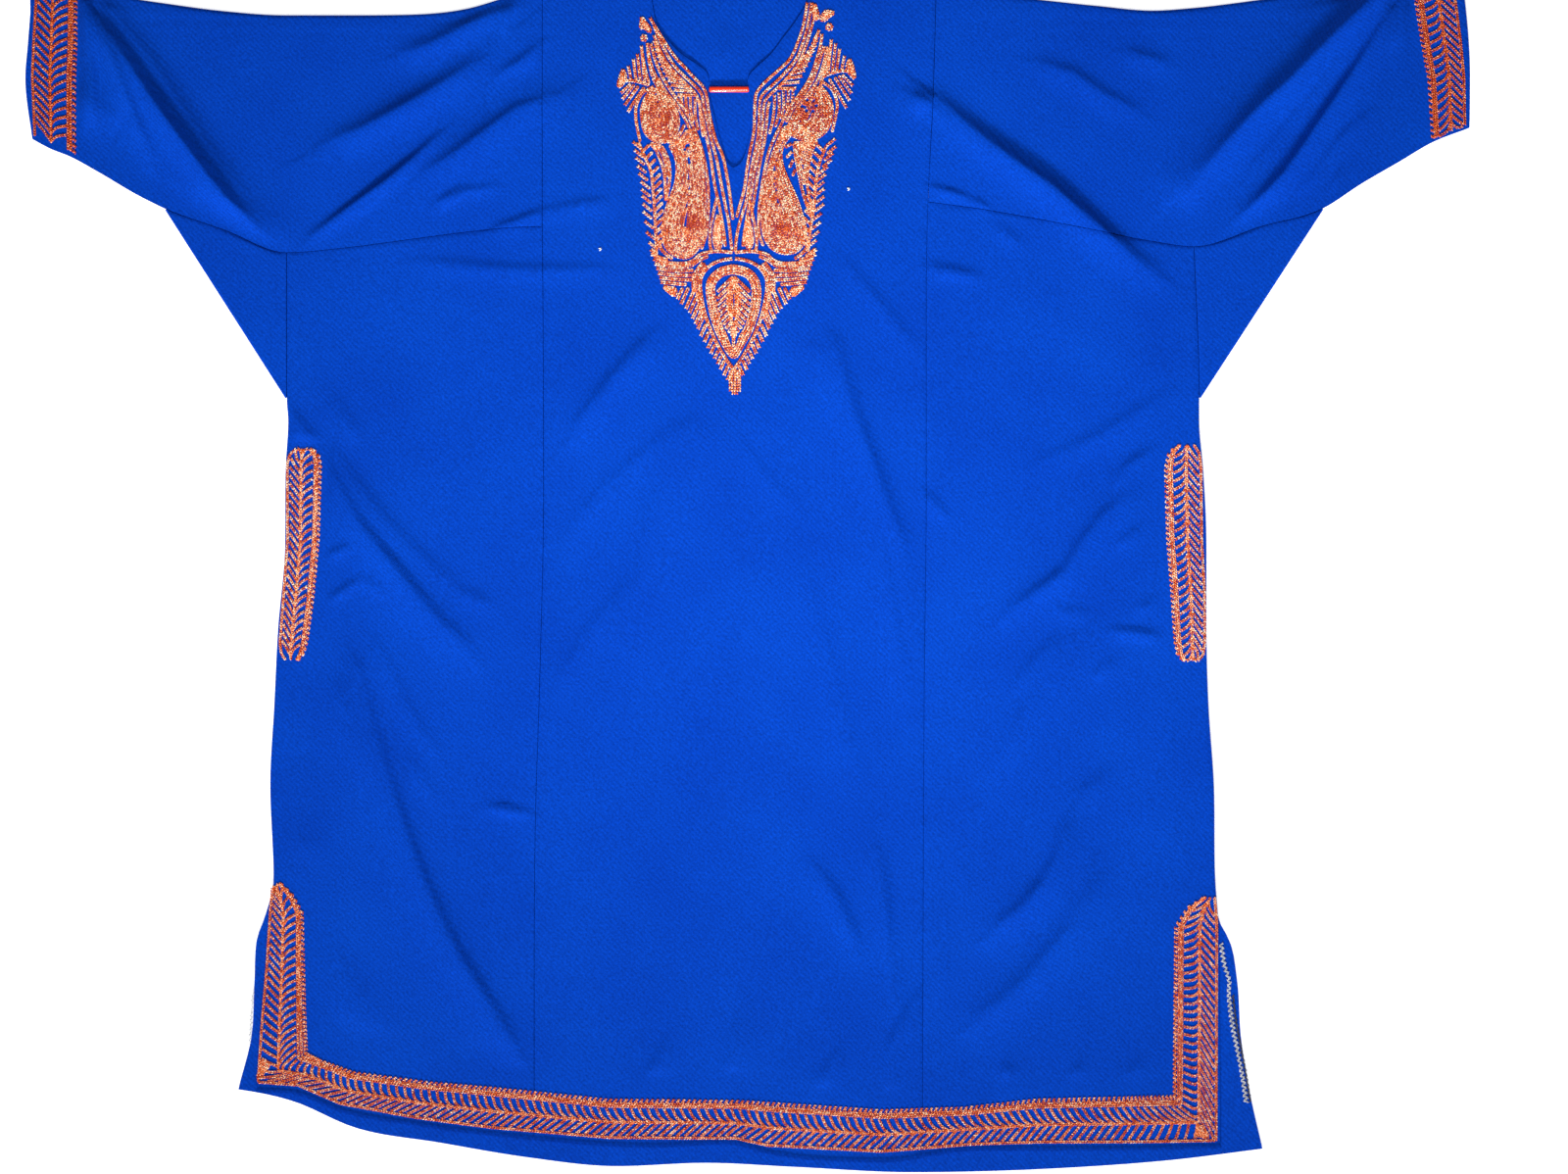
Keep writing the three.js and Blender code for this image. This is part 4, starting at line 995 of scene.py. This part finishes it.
RIGHT_PAISLEYS = {
    "stem": (
        (65, 851), (64, 842.9), (60.2, 829.3), (55.8, 817.5), (48.4, 806), (41.4, 797), (36, 786.2),
        (30.1, 774.5), (25.3, 762.8), (22.2, 749.1), (19.9, 735.4), (18, 719.7), (18, 702.1), (21.3, 692.4),
    ),
    "second row": ((66.6, 842), (62.6, 828.5), (58, 816.2), (50.4, 804.6), (43.6, 795.6), (38.2, 785)),
    "outside": ((72, 843), (69.6, 829), (66, 818)),
    "upper": (
        (67.6, 841), (64.8, 828), (60.2, 816), (53, 805.5), (46.4, 797), (41.4, 788), (38.6, 780), (44, 773),
        (56, 771), (65, 774), (71, 780.5), (73.6, 789), (73.4, 798), (69.8, 805.8), (65.2, 812), (66.6, 818),
        (69.6, 829), (71.2, 841),
    ),
    "upper core": ((50, 781), (56, 790), (58, 800), (62, 812), (66.5, 826), (69, 838)),
    "rim": ((65.5, 815), (72.5, 809.4), (76.4, 799), (75, 788.2), (72.6, 777.5)),
    "lower": (
        (35, 780.5), (30.8, 771), (26.6, 760), (23.5, 748), (21.1, 735), (19.3, 720), (19.8, 704),
        (23.4, 694), (30, 687.6), (38.5, 685.6), (46, 687.2), (51.5, 692.5), (54.2, 700), (53.4, 708),
        (50.6, 718), (46.8, 729), (41.4, 740.5), (36.8, 752), (35.6, 762), (38.6, 770), (42.5, 776),
        (40, 783),
    ),
    "lower core": ((37, 706), (33, 722), (29.8, 740), (30.4, 757), (36, 773)),
    "tail": (
        (43, 770), (61.5, 772), (59, 764), (56.6, 755), (55.2, 746), (55.4, 736), (57.2, 726), (59, 716),
        (57.4, 714), (53, 722), (49.6, 732), (47.2, 743), (45.4, 752), (43.8, 761),
    ),
    "tail core": ((50.4, 766), (50.4, 752), (51.6, 738), (55.6, 722)),
    "leaf": (
        (68.2, 767), (63.4, 755), (60.6, 741), (59.6, 728), (58.6, 717.8), (56.8, 708), (55.6, 698),
        (54.5, 688),
    ),
    "leaf tips": (
        (75.2, 772.7), (75.7, 767), (73.5, 762), (72.4, 757), (69.6, 751.9), (67.9, 746.3), (66.8, 740.7),
        (66.8, 735.4), (66.8, 729.6), (66.6, 723.9), (64.8, 717.1), (64, 710.4), (63, 703.6), (61, 697),
        (59.8, 690.4),
    ),
    "small strokes": (
        ((42.4, 769), (37.6, 766)), ((42.6, 763), (38.5, 758.5)), ((43.6, 757), (40.6, 751)),
        ((45.2, 750), (43, 744.6)),
    ),
    "holes": (
        (60.4, 796.8, 1, 1.2, 0), (58.4, 801, 1, 1.2, 0), (53.9, 801, 1, 1.2, 0),
        (51.8, 796.8, 1, 1.2, 0), (53.9, 792.6, 1, 1.2, 0), (58.4, 792.6, 1, 1.2, 0),
    ),
}
# Places where the thread is deeper: middle x, y, radius, how much
DEEP_SPOTS = ((-32.6, 709.5, 6.5, 0.7), (34.4, 706.5, 6.5, 0.7), (-53.8, 789, 8, 0.42), (55.5, 795, 9, 0.38))
# The leaf's strokes: how far in and down the outer ones run, and where the inner ones start and end
LEAF_STROKE = (7.0, 5.6)
INNER_STROKES_TOP, INNER_STROKES_BOTTOM, INNER_STROKE_PITCH = 766, 692, 5.4
INNER_STROKE = ((1, -3.5), (6.4, 2))
# The rungs: where they stand, how they slant at the top, their bend, and how they clear the lines
RUNG_TOP, RUNG_BOTTOM, RUNG_PITCH = 846, 804, 3.7
RUNG_SLANT, RUNG_BEND = 8, 0.6
STEM_CLEAR, NECK_CLEAR, RUNG_LEAST = 2.6, 0.8, 2
# How far the stitches beside a sliver of bare cloth keep clear of it
HOLE_CLEAR = 0.6
LEAF_FINGERS = (
    ((-26.4, 801.5), (-25.6, 787), (-23.6, 774)), ((-29.8, 803), (-29.6, 790), (-27.4, 779)),
    ((-33.2, 804), (-33, 794), (-31.2, 785)), ((-36.8, 804.6), (-36.4, 798), (-35, 791)),
    ((-40.4, 805), (-40, 801), (-39, 797)),
)
FAN_RIB = ((-83.4, 816), (-74, 815.5), (-64, 812.5))
FAN_DROP = ((-83.4, 825.5), (-87.2, 818), (-87.4, 810), (-82.5, 813.5), (-80.2, 819))
FAN_STROKES = (
    ((-79.7, 827), (-77.5, 816.5)), ((-75.9, 832), (-73.8, 816.5)), ((-72.9, 836), (-70.6, 815.5)),
    ((-69.6, 839), (-67.6, 814.5)), ((-85.3, 806.5), (-77.8, 813.5)), ((-84.1, 802), (-75, 813)),
    ((-82.3, 797.5), (-72, 812)), ((-80, 792.5), (-74.5, 801), (-67.8, 811)),
)
# The buds and small leaves at the top of the neck lines: outline, core
NECK_LEAVES = (
    (((-67.9, 851.3), (-71.3, 848), (-68, 844.4), (-64.6, 847.9)), ((-68, 847.9),)),
    (((-70.3, 864.4), (-71.8, 855), (-68, 854.5), (-62.5, 851), (-63, 856), (-66.2, 860)), ((-67, 857),)),
    (((70.5, 859.7), (66.9, 856), (70.5, 852.4), (74.1, 856)), ((70.5, 856),)),
    (((75.3, 867), (67.5, 869), (63, 862), (66.5, 859.5), (71, 863)), ((68, 865),)),
    (((59.6, 874.5), (57.5, 866), (61, 860), (63.2, 866)), ((60, 867),)),
)
SLIT_DROP = ((-12.8, 717), (-16, 706), (-16.8, 697), (-13, 688.5), (-9, 695), (-9.6, 705))
SLIT_LOOP = ((-13.6, 728), (-16.4, 716), (-18.4, 705), (-18.8, 695), (-17.4, 688))
COMB = (
    ((-57, 697), (-55, 690), (-50.5, 685.6), (-46.5, 682.8)), ((-63, 690), (-58, 686.6)),
    ((-62.5, 686.4), (-54, 683), (-50, 682.4)),
    ((-61, 682.8), (-52, 680.2), (-38, 679.4), (-30.4, 682), (-25.5, 686.2), (-14, 688.4), (-2, 687.6)),
    ((-60, 679.2), (-46, 676.8), (-34, 677.4), (-27, 681.6), (-20, 684.8)),
    ((-58.8, 675.7), (-44, 673.8), (-31, 674.4)), ((-57.6, 672.2), (-44, 670.6), (-31, 670.6)),
    ((-56.5, 668.8), (-44, 667.4), (-32, 667)), ((-55.6, 665.4), (-44, 664.2), (-36, 663.6)),
)
CORNER_LEAF = ((-54.3, 662.6), (-44, 661.5), (-43.4, 655), (-48.5, 656))


def rungs():
    """Short bars between the stem and the lines beside the neck."""
    stem_x = smooth([(y, x) for x, y in LEFT_PAISLEYS["stem"][:6]])
    neck_x = smooth([(y, x) for x, y in LEFT_NECK_LINES[2][:8]])
    laid = []
    for y in np.arange(RUNG_TOP, RUNG_BOTTOM, -RUNG_PITCH):
        slant = RUNG_SLANT * (y - RUNG_BOTTOM) / (RUNG_TOP - RUNG_BOTTOM)
        start = (stem_x(y) + STEM_CLEAR, y)
        end = (neck_x(y - slant) - NECK_CLEAR, y - slant)
        if end[0] - start[0] > RUNG_LEAST:
            laid.append(chain(start, ((start[0] + end[0]) / 2, y - slant * RUNG_BEND), end))
    return laid


def kept_bare(stitches, holes):
    """The stitches without those that would cover the slivers of bare cloth."""
    x, y = stitches[:, 0], stitches[:, 1]
    keep = np.full(len(x), True)
    for middle_x, middle_y, half_width, half_height, turn in holes:
        turn = np.radians(turn)
        across = (x - middle_x) * np.cos(turn) + (y - middle_y) * np.sin(turn)
        along = (y - middle_y) * np.cos(turn) - (x - middle_x) * np.sin(turn)
        keep &= (across / (half_width + HOLE_CLEAR)) ** 2 + (along / half_height) ** 2 > 1
    return stitches[keep]


def paisleys(shapes, outward):
    """The paisleys, the tail and the leaf of one half."""
    laid = [chain(*shapes[name]) for name in ("stem", "second row", "outside", "rim", "leaf")]
    for name in ("upper", "lower", "tail"):
        laid += [kept_bare(row, shapes["holes"]) for row in filled(shapes[name], shapes[name + " core"])]
    for x, y in shapes["leaf tips"]:
        laid.append(chain((x, y), (x - outward * LEAF_STROKE[0], y - LEAF_STROKE[1])))
    spine_x = smooth([(y, x) for x, y in shapes["leaf"]])
    (start_in, start_up), (end_in, end_up) = INNER_STROKE
    for y in np.arange(INNER_STROKES_TOP, INNER_STROKES_BOTTOM, -INNER_STROKE_PITCH):
        x = spine_x(y)
        laid.append(chain((x - outward * start_in, y + start_up), (x - outward * end_in, y + end_up)))
    return laid + [chain(*stroke) for stroke in shapes["small strokes"]]


def neck_side():
    """The left half's rungs, solid leaf, fan and slit drop."""
    laid = rungs()
    laid += [chain(*stroke) for stroke in (*LEAF_FINGERS, FAN_RIB, SLIT_LOOP, *FAN_STROKES)]
    laid += filled(FAN_DROP, ((-84.5, 817),)) + filled(SLIT_DROP, ((-13, 700),))
    return laid


# How the right half differs from the left one turned over: y, moved outwards, moved up
RIGHT_MOVES = (
    (640, 0, 0), (680, -1.5, 1.5), (710, -3, -1.5), (750, -1, 0), (772, 2, 2), (795, 3.4, 3), (818, 2.2, 7.4),
    (850, 2.6, 8),
)
right_out = smooth(column(RIGHT_MOVES, 1))
right_up = smooth(column(RIGHT_MOVES, 2))


def turned_over(stitches):
    """The left half's stitches as they lie on the right."""
    x, y, turn = stitches.T
    return np.column_stack([-x + right_out(y), y + right_up(y), np.pi - turn])


# The medallion, its halo, and the strokes that end the yoke in a point
MEDALLION = (
    (-2, 678.7), (-12.7, 675.6), (-20.4, 667.5), (-21.6, 656), (-17.6, 636.6), (-10.9, 620.6), (-1, 608),
    (6.9, 618), (14, 631), (19, 649), (19, 664), (14, 673), (6.9, 677),
)
LEFT_HALO = (
    (-2, 683), (-11, 681.4), (-19.5, 677), (-25.4, 668.5), (-25.4, 657), (-21.8, 640), (-14.8, 622.3),
    (-6.4, 607.5), (-0.9, 600),
)
# y, half width
MEDALLION_WIDTHS = ((608, 0.0), (621, 9.9), (637, 16.6), (656, 20.6), (668, 19.4), (679, 0.5))
MEDALLION_ROWS = 3
# The rows outside the halo: how much of it each one follows, and how far from it
HALO_ROWS = ((6, -2.6), (5, -5.4))
LEAF_CENTRE = -1.0
LEAF_CLEAR, LEAF_LEAST, LEAF_DROP, LEAF_REACH_AT = 1.0, 1.5, 0.9, 6
LEAF_TOP, LEAF_BOTTOM, LEAF_PITCH = 669, 622, 4.7
LEAF_CORE = ((-1, 671), (-5.5, 660), (-6, 648), (-3.5, 636), (-1, 622), (2, 636), (4.5, 648), (3.5, 660))
STROKE_TIPS = (
    (-55.3, 664), (-51.5, 659), (-47.3, 655), (-42.9, 652.5), (-40.2, 649), (-36.7, 645.4), (-34, 642.3),
    (-31.8, 638), (-29.6, 634), (-27.8, 630.3), (-25.6, 625), (-22.9, 620.6), (-20.2, 616), (-18, 612),
    (-15.3, 608), (-13, 604), (-10.9, 600), (-8.2, 595.7), (-5.6, 592),
)
STROKE_SLOPE = np.radians(66)
STROKES_END_Y = 661
STROKE_CLEAR, STROKE_LEAST, STROKE_SEARCH, STROKE_STEP = 1.9, 2, 60, 0.5
# The short stem at the point: the places of its lines, where they end, and how much later beside the middle
POINT_STEM = (-3.2, -1.1, 1.0, 3.1)
STEM_TOP, STEM_BOTTOM, STEM_ROUNDING = 600, 581, 0.25


def medallion_point():
    """The medallion with its leaf, its halo and the strokes below them."""
    laid = filled(MEDALLION, ((-1, 655), (-1, 630)), MEDALLION_ROWS)
    half_width = smooth(MEDALLION_WIDTHS)
    for y in np.arange(LEAF_TOP, LEAF_BOTTOM, -LEAF_PITCH):
        reach = half_width(y - LEAF_REACH_AT) - ROW * MEDALLION_ROWS - LEAF_CLEAR
        if reach > LEAF_LEAST:
            for side in (-1, 1):
                tip = (LEAF_CENTRE + side * reach, y - LEAF_DROP * reach)
                laid.append(chain((LEAF_CENTRE + side, y), tip))
    laid += filled(LEAF_CORE, ((-1, 662), (-1, 632))) + [chain((LEAF_CENTRE, 624), (LEAF_CENTRE, 615))]
    left = [chain_on(curve(LEFT_HALO, WIDE_PITCH))]
    left += [chain_on(beside(curve(LEFT_HALO[2:last], WIDE_PITCH), apart)) for last, apart in HALO_ROWS]
    halo_x = smooth([(y, x) for x, y in LEFT_HALO[2:]])
    for tip_x, tip_y in STROKE_TIPS:
        along = np.arange(0, STROKE_SEARCH, STROKE_STEP)
        line_x = tip_x + along * np.cos(STROKE_SLOPE)
        line_y = tip_y + along * np.sin(STROKE_SLOPE)
        stop = np.argmax((line_x > halo_x(line_y) - STROKE_CLEAR) | (line_y > STROKES_END_Y))
        if along[stop] > STROKE_LEAST:
            left.append(chain((tip_x, tip_y), (line_x[stop], line_y[stop])))
    left += [chain(*line) for line in COMB] + filled(CORNER_LEAF, ((-47.6, 659),))
    right = [
        np.column_stack([2 * LEAF_CENTRE - part[:, 0], part[:, 1], np.pi - part[:, 2]]) for part in left
    ]
    stem = [chain((x, STEM_BOTTOM + STEM_ROUNDING * x * x), (x, STEM_TOP)) for x in POINT_STEM]
    return laid + left + right + stem


YOKE_TINTS = (0.05, 1.1)
YOKE_WIDTH, POINT_WIDTH = 1.08, 1.24
left_side = neck_side()
yoke = left_side + [turned_over(part) for part in left_side]
yoke += paisleys(LEFT_PAISLEYS, -1) + paisleys(RIGHT_PAISLEYS, 1)
yoke += [chain(*line) for line in (*LEFT_NECK_LINES, *RIGHT_NECK_LINES)]
for outline, core in NECK_LEAVES:
    yoke += filled(outline, core)
point = medallion_point()
widths = [YOKE_WIDTH] * sum(map(len, yoke)) + [POINT_WIDTH] * sum(map(len, point))
yoke_stitches = lay_stitches("yoke_stitches", yoke + point, COPPER, YOKE_TINTS, width=widths)
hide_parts("embroidery_yoke")

# Bands of the same work round the hem and vents, the pockets and the cuffs: one line at the outer
# edge, slanting strokes that meet along a spine, two lines, and small knots on stalks beyond them.
# outer edge x, y; inner edge x, y
HEM_BAND = (
    (-346, 213, -340, 217), (-347, 204, -330, 207), (-348, 194, -323, 194), (-351, 150, -322, 150),
    (-355, 105, -321, 112), (-357.5, 67, -320, 89), (-327, 65, -310, 84), (-295, 51, -285, 75),
    (-239, 40.5, -229, 67.5), (-183, 33, -178, 63), (-95, 25.5, -95, 54.5), (-40, 25, -40, 54),
    (0, 25, 2, 53.5), (24, 19.5, 26, 52), (110, 15, 110, 46.5), (177, 20.5, 172, 48.5),
    (230, 22, 225, 54.5), (300, 22, 290, 56), (360.5, 23, 328, 57), (361, 184, 329, 184),
    (360, 196, 338, 198), (358.5, 206, 351, 206),
)
LEFT_POCKET_BAND = (
    (-328, 541, -316, 541), (-333, 537, -311, 537), (-335.3, 530, -309.3, 530), (-335, 473, -311, 473),
    (-338, 430, -315, 430), (-340.5, 397, -319.5, 397), (-339.5, 388, -322, 388), (-336, 383, -326, 383),
)
RIGHT_POCKET_BAND = (
    (346, 382.5, 335, 382.5), (350.5, 387, 330.5, 387), (351.8, 397, 328.5, 397), (351.5, 435, 326, 435),
    (349.5, 473, 323, 473), (349, 527, 321.5, 527), (347.5, 538, 324, 538), (343, 544, 331, 544),
)
LEFT_CUFF_BAND = (
    (-524, 890, -494, 886), (-523, 877, -492, 877), (-525, 845, -492, 845), (-526, 818, -493, 818),
    (-524, 775, -493, 762),
)
RIGHT_CUFF_BAND = (
    (546, 783, 521, 772), (545.5, 818, 518, 818), (543, 845, 513, 845), (539, 877, 508, 877),
    (537, 892, 506, 888),
)
# Where the lines run across a band, from 0 at its outer edge to 1 at its inner one
OUTER_LINE, SPINE_LINE, DOUBLE_LINES, KNOT_LINE = 0.035, 0.43, (0.835, 0.9), 1.0
STROKE_PITCH = 6.2
OUTER_LEAN, INNER_LEAN = 11.5, 8.5
# How far along and across its way a stroke has its bend, outer and inner
OUTER_BEND, INNER_BEND = (0.5, 0.5), (0.42, 0.66)
BAND_WIDTH = 0.95
# The cuff bands' tints are darker as painted shade, for the light that falls off towards the cuffs.
HEM_TINTS, POCKET_TINTS, CUFF_SHADED_TINTS = (0.08, 0.76), (0.1, 0.95), (0.0, 0.52)
KNOT_PITCH, KNOT_LEAN = 3.9, 1.3
# How far strokes keep clear of the lines, and the share of it that the knots' stalks keep
LINE_CLEAR, STALK_CLEAR = 1.2, 0.6
STROKE_SHORTEST = 3
ROW_PARTS = 40


def stitched_band(rows):
    """The stitches of one band. The strokes point the way that the rows go."""
    rows = np.array(rows, float)
    share = np.linspace(0, len(rows) - 1, ROW_PARTS * (len(rows) - 1) + 1)
    outer_x, outer_y, inner_x, inner_y = (np.interp(share, range(len(rows)), rows[:, i]) for i in range(4))

    def rail(part):
        return np.stack([outer_x + (inner_x - outer_x) * part, outer_y + (inner_y - outer_y) * part], axis=1)

    spine = rail(SPINE_LINE)
    lengths = np.concatenate([[0], np.cumsum(np.hypot(*np.diff(spine, axis=0).T))])

    def on(part, at):
        line = rail(part)
        at = np.clip(at, 0, lengths[-1])
        return np.array([np.interp(at, lengths, line[:, 0]), np.interp(at, lengths, line[:, 1])])

    laid = [chain_on(rail(part)) for part in (OUTER_LINE, SPINE_LINE, *DOUBLE_LINES)]
    width = np.hypot(inner_x - outer_x, inner_y - outer_y).mean()
    clear = LINE_CLEAR / width
    for at in np.arange(STROKE_PITCH, lengths[-1], STROKE_PITCH):
        for edge, lean, (along, over) in (
            (OUTER_LINE + clear, OUTER_LEAN, OUTER_BEND),
            (DOUBLE_LINES[0] - clear, INNER_LEAN, INNER_BEND),
        ):
            start, end = on(edge, at - lean), on(SPINE_LINE, at)
            bulge = on(edge + (SPINE_LINE - edge) * over, at - lean * (1 - along))
            if np.hypot(*(end - start)) > STROKE_SHORTEST:
                laid.append(chain(start, bulge, end))
    for at in np.arange(KNOT_PITCH / 2, lengths[-1], KNOT_PITCH):
        start, end = on(DOUBLE_LINES[1] + clear * STALK_CLEAR, at - KNOT_LEAN), on(KNOT_LINE, at)
        direction = np.arctan2(*(end - start)[::-1])
        laid.append(np.array([[*((start + end) / 2), direction], [*end, direction + np.pi / 2]]))
    return laid


CORNERS = (
    (((-353.5, 85), (-346.7, 80.6), (-357, 69.5)), ((-352.5, 79),)),
    (((342, 27), (355, 26.6), (347, 37)), ((348, 29.5),)),
)
hem = stitched_band(HEM_BAND)
for outline, core in CORNERS:
    hem += filled(outline, core)
for name, stitches, node, tints in (
    ("hem_stitches", hem, "embroidery_hem", HEM_TINTS),
    ("left_pocket_stitches", stitched_band(LEFT_POCKET_BAND), "embroidery_pocket_left", POCKET_TINTS),
    ("right_pocket_stitches", stitched_band(RIGHT_POCKET_BAND), "embroidery_pocket_right", POCKET_TINTS),
    ("left_cuff_stitches", stitched_band(LEFT_CUFF_BAND), "embroidery_cuff_left", CUFF_SHADED_TINTS),
    ("right_cuff_stitches", stitched_band(RIGHT_CUFF_BAND), "embroidery_cuff_right", CUFF_SHADED_TINTS),
):
    piece = lay_stitches(name, stitches, COPPER, tints, width=BAND_WIDTH)
    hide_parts(node)

# Neck bar: a small glossy red bar with rounded ends, moulded or closely stitched. It is fixed across
# the slit and holds its two edges together.
BAR_ROUNDING = 0.45


def glossy_red():
    """Smooth glossy red plastic."""
    material = bpy.data.materials.new("glossy red")
    material.use_nodes = True
    shader = material.node_tree.nodes["Principled BSDF"]
    shader.inputs["Base Color"].default_value = (0.95, 0.035, 0.004, 1)
    shader.inputs["Roughness"].default_value = 0.28
    shader.inputs["Coat Weight"].default_value = 0.5
    return material


bar_size = [bar_high[axis] - bar_low[axis] for axis in range(3)]
bpy.ops.object.select_all(action="DESELECT")
bpy.ops.mesh.primitive_cylinder_add(vertices=32, radius=0.5, depth=1.0)
bar = bpy.context.object
bar.name = "neck_bar_red"
bpy.ops.object.mode_set(mode="EDIT")
bpy.ops.mesh.select_all(action="SELECT")
bpy.ops.transform.rotate(value=np.pi / 2, orient_axis="Y", center_override=(0, 0, 0))
bpy.ops.transform.resize(value=bar_size, center_override=(0, 0, 0))
bpy.ops.transform.translate(value=[(bar_low[axis] + bar_high[axis]) / 2 for axis in range(3)])
bpy.ops.object.mode_set(mode="OBJECT")
rounding = bar.modifiers.new("rounded ends", "BEVEL")
rounding.width = min(bar_size) * BAR_ROUNDING
rounding.segments = 4
rounding.limit_method = "ANGLE"
bpy.ops.object.modifier_apply(modifier=rounding.name)
bpy.ops.object.shade_smooth_by_angle(angle=np.radians(40))
bar.data.materials.append(glossy_red())
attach(bar, "root")
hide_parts("neck_bar")

# White threads: the overcast edges that show at the vents, in white and black sewing thread, and two
# specks of lint on the front.
THREAD_PITCH = 1.9
THREAD_WIDTH = 0.5
WHITE_TINTS, BLACK_TINTS, LINT_TINTS = (0.5, 1.0), (0.0, 0.1), (0.8, 1.0)
# line, half width
OVERCAST_EDGES = (
    (((363.3, 171.2), (365.8, 155.4), (369.4, 143.7), (369.2, 132), (371.6, 112.2), (375.3, 92.7),
      (379, 73.3), (382.3, 52)), 1.8),
    (((-360.6, 134), (-361.6, 118), (-363, 97)), 1.0),
)
# The black thread runs beside the lower part of the right vent's edge
BLACK_START, BLACK_PITCH = 3, 6
BLACK_BESIDE, BLACK_HALF_WIDTH = 3.0, 0.9
# x, y, turn
LINT = ((-100.7, 690, 0.4), (84.9, 735, 0.4))


def sewing_thread():
    """Dull cotton thread, white or black by the tint of each stitch."""
    material = bpy.data.materials.new("white sewing thread")
    material.use_nodes = True
    tree = material.node_tree
    shader = tree.nodes["Principled BSDF"]
    shader.inputs["Roughness"].default_value = 0.85
    tint = tree.nodes.new("ShaderNodeAttribute")
    tint.attribute_name = "tint"
    ramp = tree.nodes.new("ShaderNodeValToRGB")
    ramp.color_ramp.elements[0].color = (0.004, 0.006, 0.02, 1)
    ramp.color_ramp.elements[1].color = (0.78, 0.8, 0.82, 1)
    tree.links.new(tint.outputs["Fac"], ramp.inputs["Fac"])
    tree.links.new(ramp.outputs["Color"], shader.inputs["Base Color"])
    return material


def zigzag(line, half_width):
    """Stitches that swing from side to side of a line."""
    line = curve(line, THREAD_PITCH)
    swing = np.where(np.arange(len(line)) % 2 == 0, half_width, -half_width)
    step = np.gradient(line, axis=0)
    normal = np.stack([-step[:, 1], step[:, 0]], axis=1) / np.hypot(*step.T)[:, None]
    return chain_on(line + normal * swing[:, None])


def on_back(x, y):
    """The height of the back's upper side."""
    return np.full(np.shape(x), BACK_Z + CLOTH)


SEWING_THREAD = sewing_thread()
white = [zigzag(line, half_width) for line, half_width in OVERCAST_EDGES]
right_edge = curve(OVERCAST_EDGES[0][0][BLACK_START:], BLACK_PITCH)
black = [zigzag(beside(right_edge, BLACK_BESIDE), BLACK_HALF_WIDTH)]
specks = [np.array([speck]) for speck in LINT]
lay_stitches("overcast_white", white, SEWING_THREAD, WHITE_TINTS, on_back, THREAD_WIDTH)
lay_stitches("overcast_black", black, SEWING_THREAD, BLACK_TINTS, on_back, THREAD_WIDTH)
lay_stitches("lint", specks, SEWING_THREAD, LINT_TINTS)

# Stage: a plain pale floor, soft studio light from the hem side, and a camera straight above.
FLOOR_SIZE, FLOOR_Z = 6, -0.0006
KEY_ENERGY, KEY_SOFTNESS, KEY_DIRECTION = 5.4, 9, (0.12, 1.0, -0.48)
TOP_ENERGY, TOP_SIZE, TOP_PLACE = 4.2, 0.3, (0.05, 0.03, 0.66)
WORLD_STRENGTH = 0.17
# In the photo's own pixels: its middle, its width, and where the drawing has its origin
VIEW_CENTRE = (800, 599)
VIEW_WIDTH = 1600
DRAWING_ORIGIN = (750, 1196)
PIXEL = 0.733

bpy.ops.object.select_all(action="DESELECT")
bpy.ops.mesh.primitive_plane_add(size=FLOOR_SIZE, location=(0, 0, FLOOR_Z))
floor = bpy.context.object
floor.name = "floor"
paper = bpy.data.materials.new("pale floor")
paper.use_nodes = True
paper_shader = paper.node_tree.nodes["Principled BSDF"]
paper_shader.inputs["Base Color"].default_value = (0.92, 0.92, 0.92, 1)
paper_shader.inputs["Roughness"].default_value = 0.9
paper_shader.inputs["Emission Color"].default_value = (1, 1, 1, 1)
paper_shader.inputs["Emission Strength"].default_value = 0.62
floor.data.materials.append(paper)

world = bpy.data.worlds.new("studio")
bpy.context.scene.world = world
world.use_nodes = True
world.node_tree.nodes["Background"].inputs["Color"].default_value = (1, 1, 1, 1)
world.node_tree.nodes["Background"].inputs["Strength"].default_value = WORLD_STRENGTH


def light(name, kind, energy, place, direction):
    """A light that shines from a place in a direction."""
    data = bpy.data.lights.new(name, kind)
    data.energy = energy
    lamp = bpy.data.objects.new(name, data)
    bpy.context.scene.collection.objects.link(lamp)
    lamp.location = place
    lamp.rotation_euler = Vector(direction).to_track_quat("-Z", "Y").to_euler()
    return data


light("key", "SUN", KEY_ENERGY, (0, 0, 0), KEY_DIRECTION).angle = np.radians(KEY_SOFTNESS)
light("top", "AREA", TOP_ENERGY, TOP_PLACE, [-part for part in TOP_PLACE]).size = TOP_SIZE

camera_data = bpy.data.cameras.new("camera")
camera_data.lens = 85
camera_data.sensor_width = 36
camera = bpy.data.objects.new("camera", camera_data)
bpy.context.scene.collection.objects.link(camera)
camera.location = (
    ORIGIN[0] + (VIEW_CENTRE[0] - DRAWING_ORIGIN[0]) * PIXEL * MM,
    ORIGIN[1] + (DRAWING_ORIGIN[1] - VIEW_CENTRE[1]) * PIXEL * MM,
    VIEW_WIDTH * PIXEL * MM * camera_data.lens / camera_data.sensor_width,
)
bpy.context.scene.camera = camera
bpy.context.scene.view_settings.view_transform = "Standard"
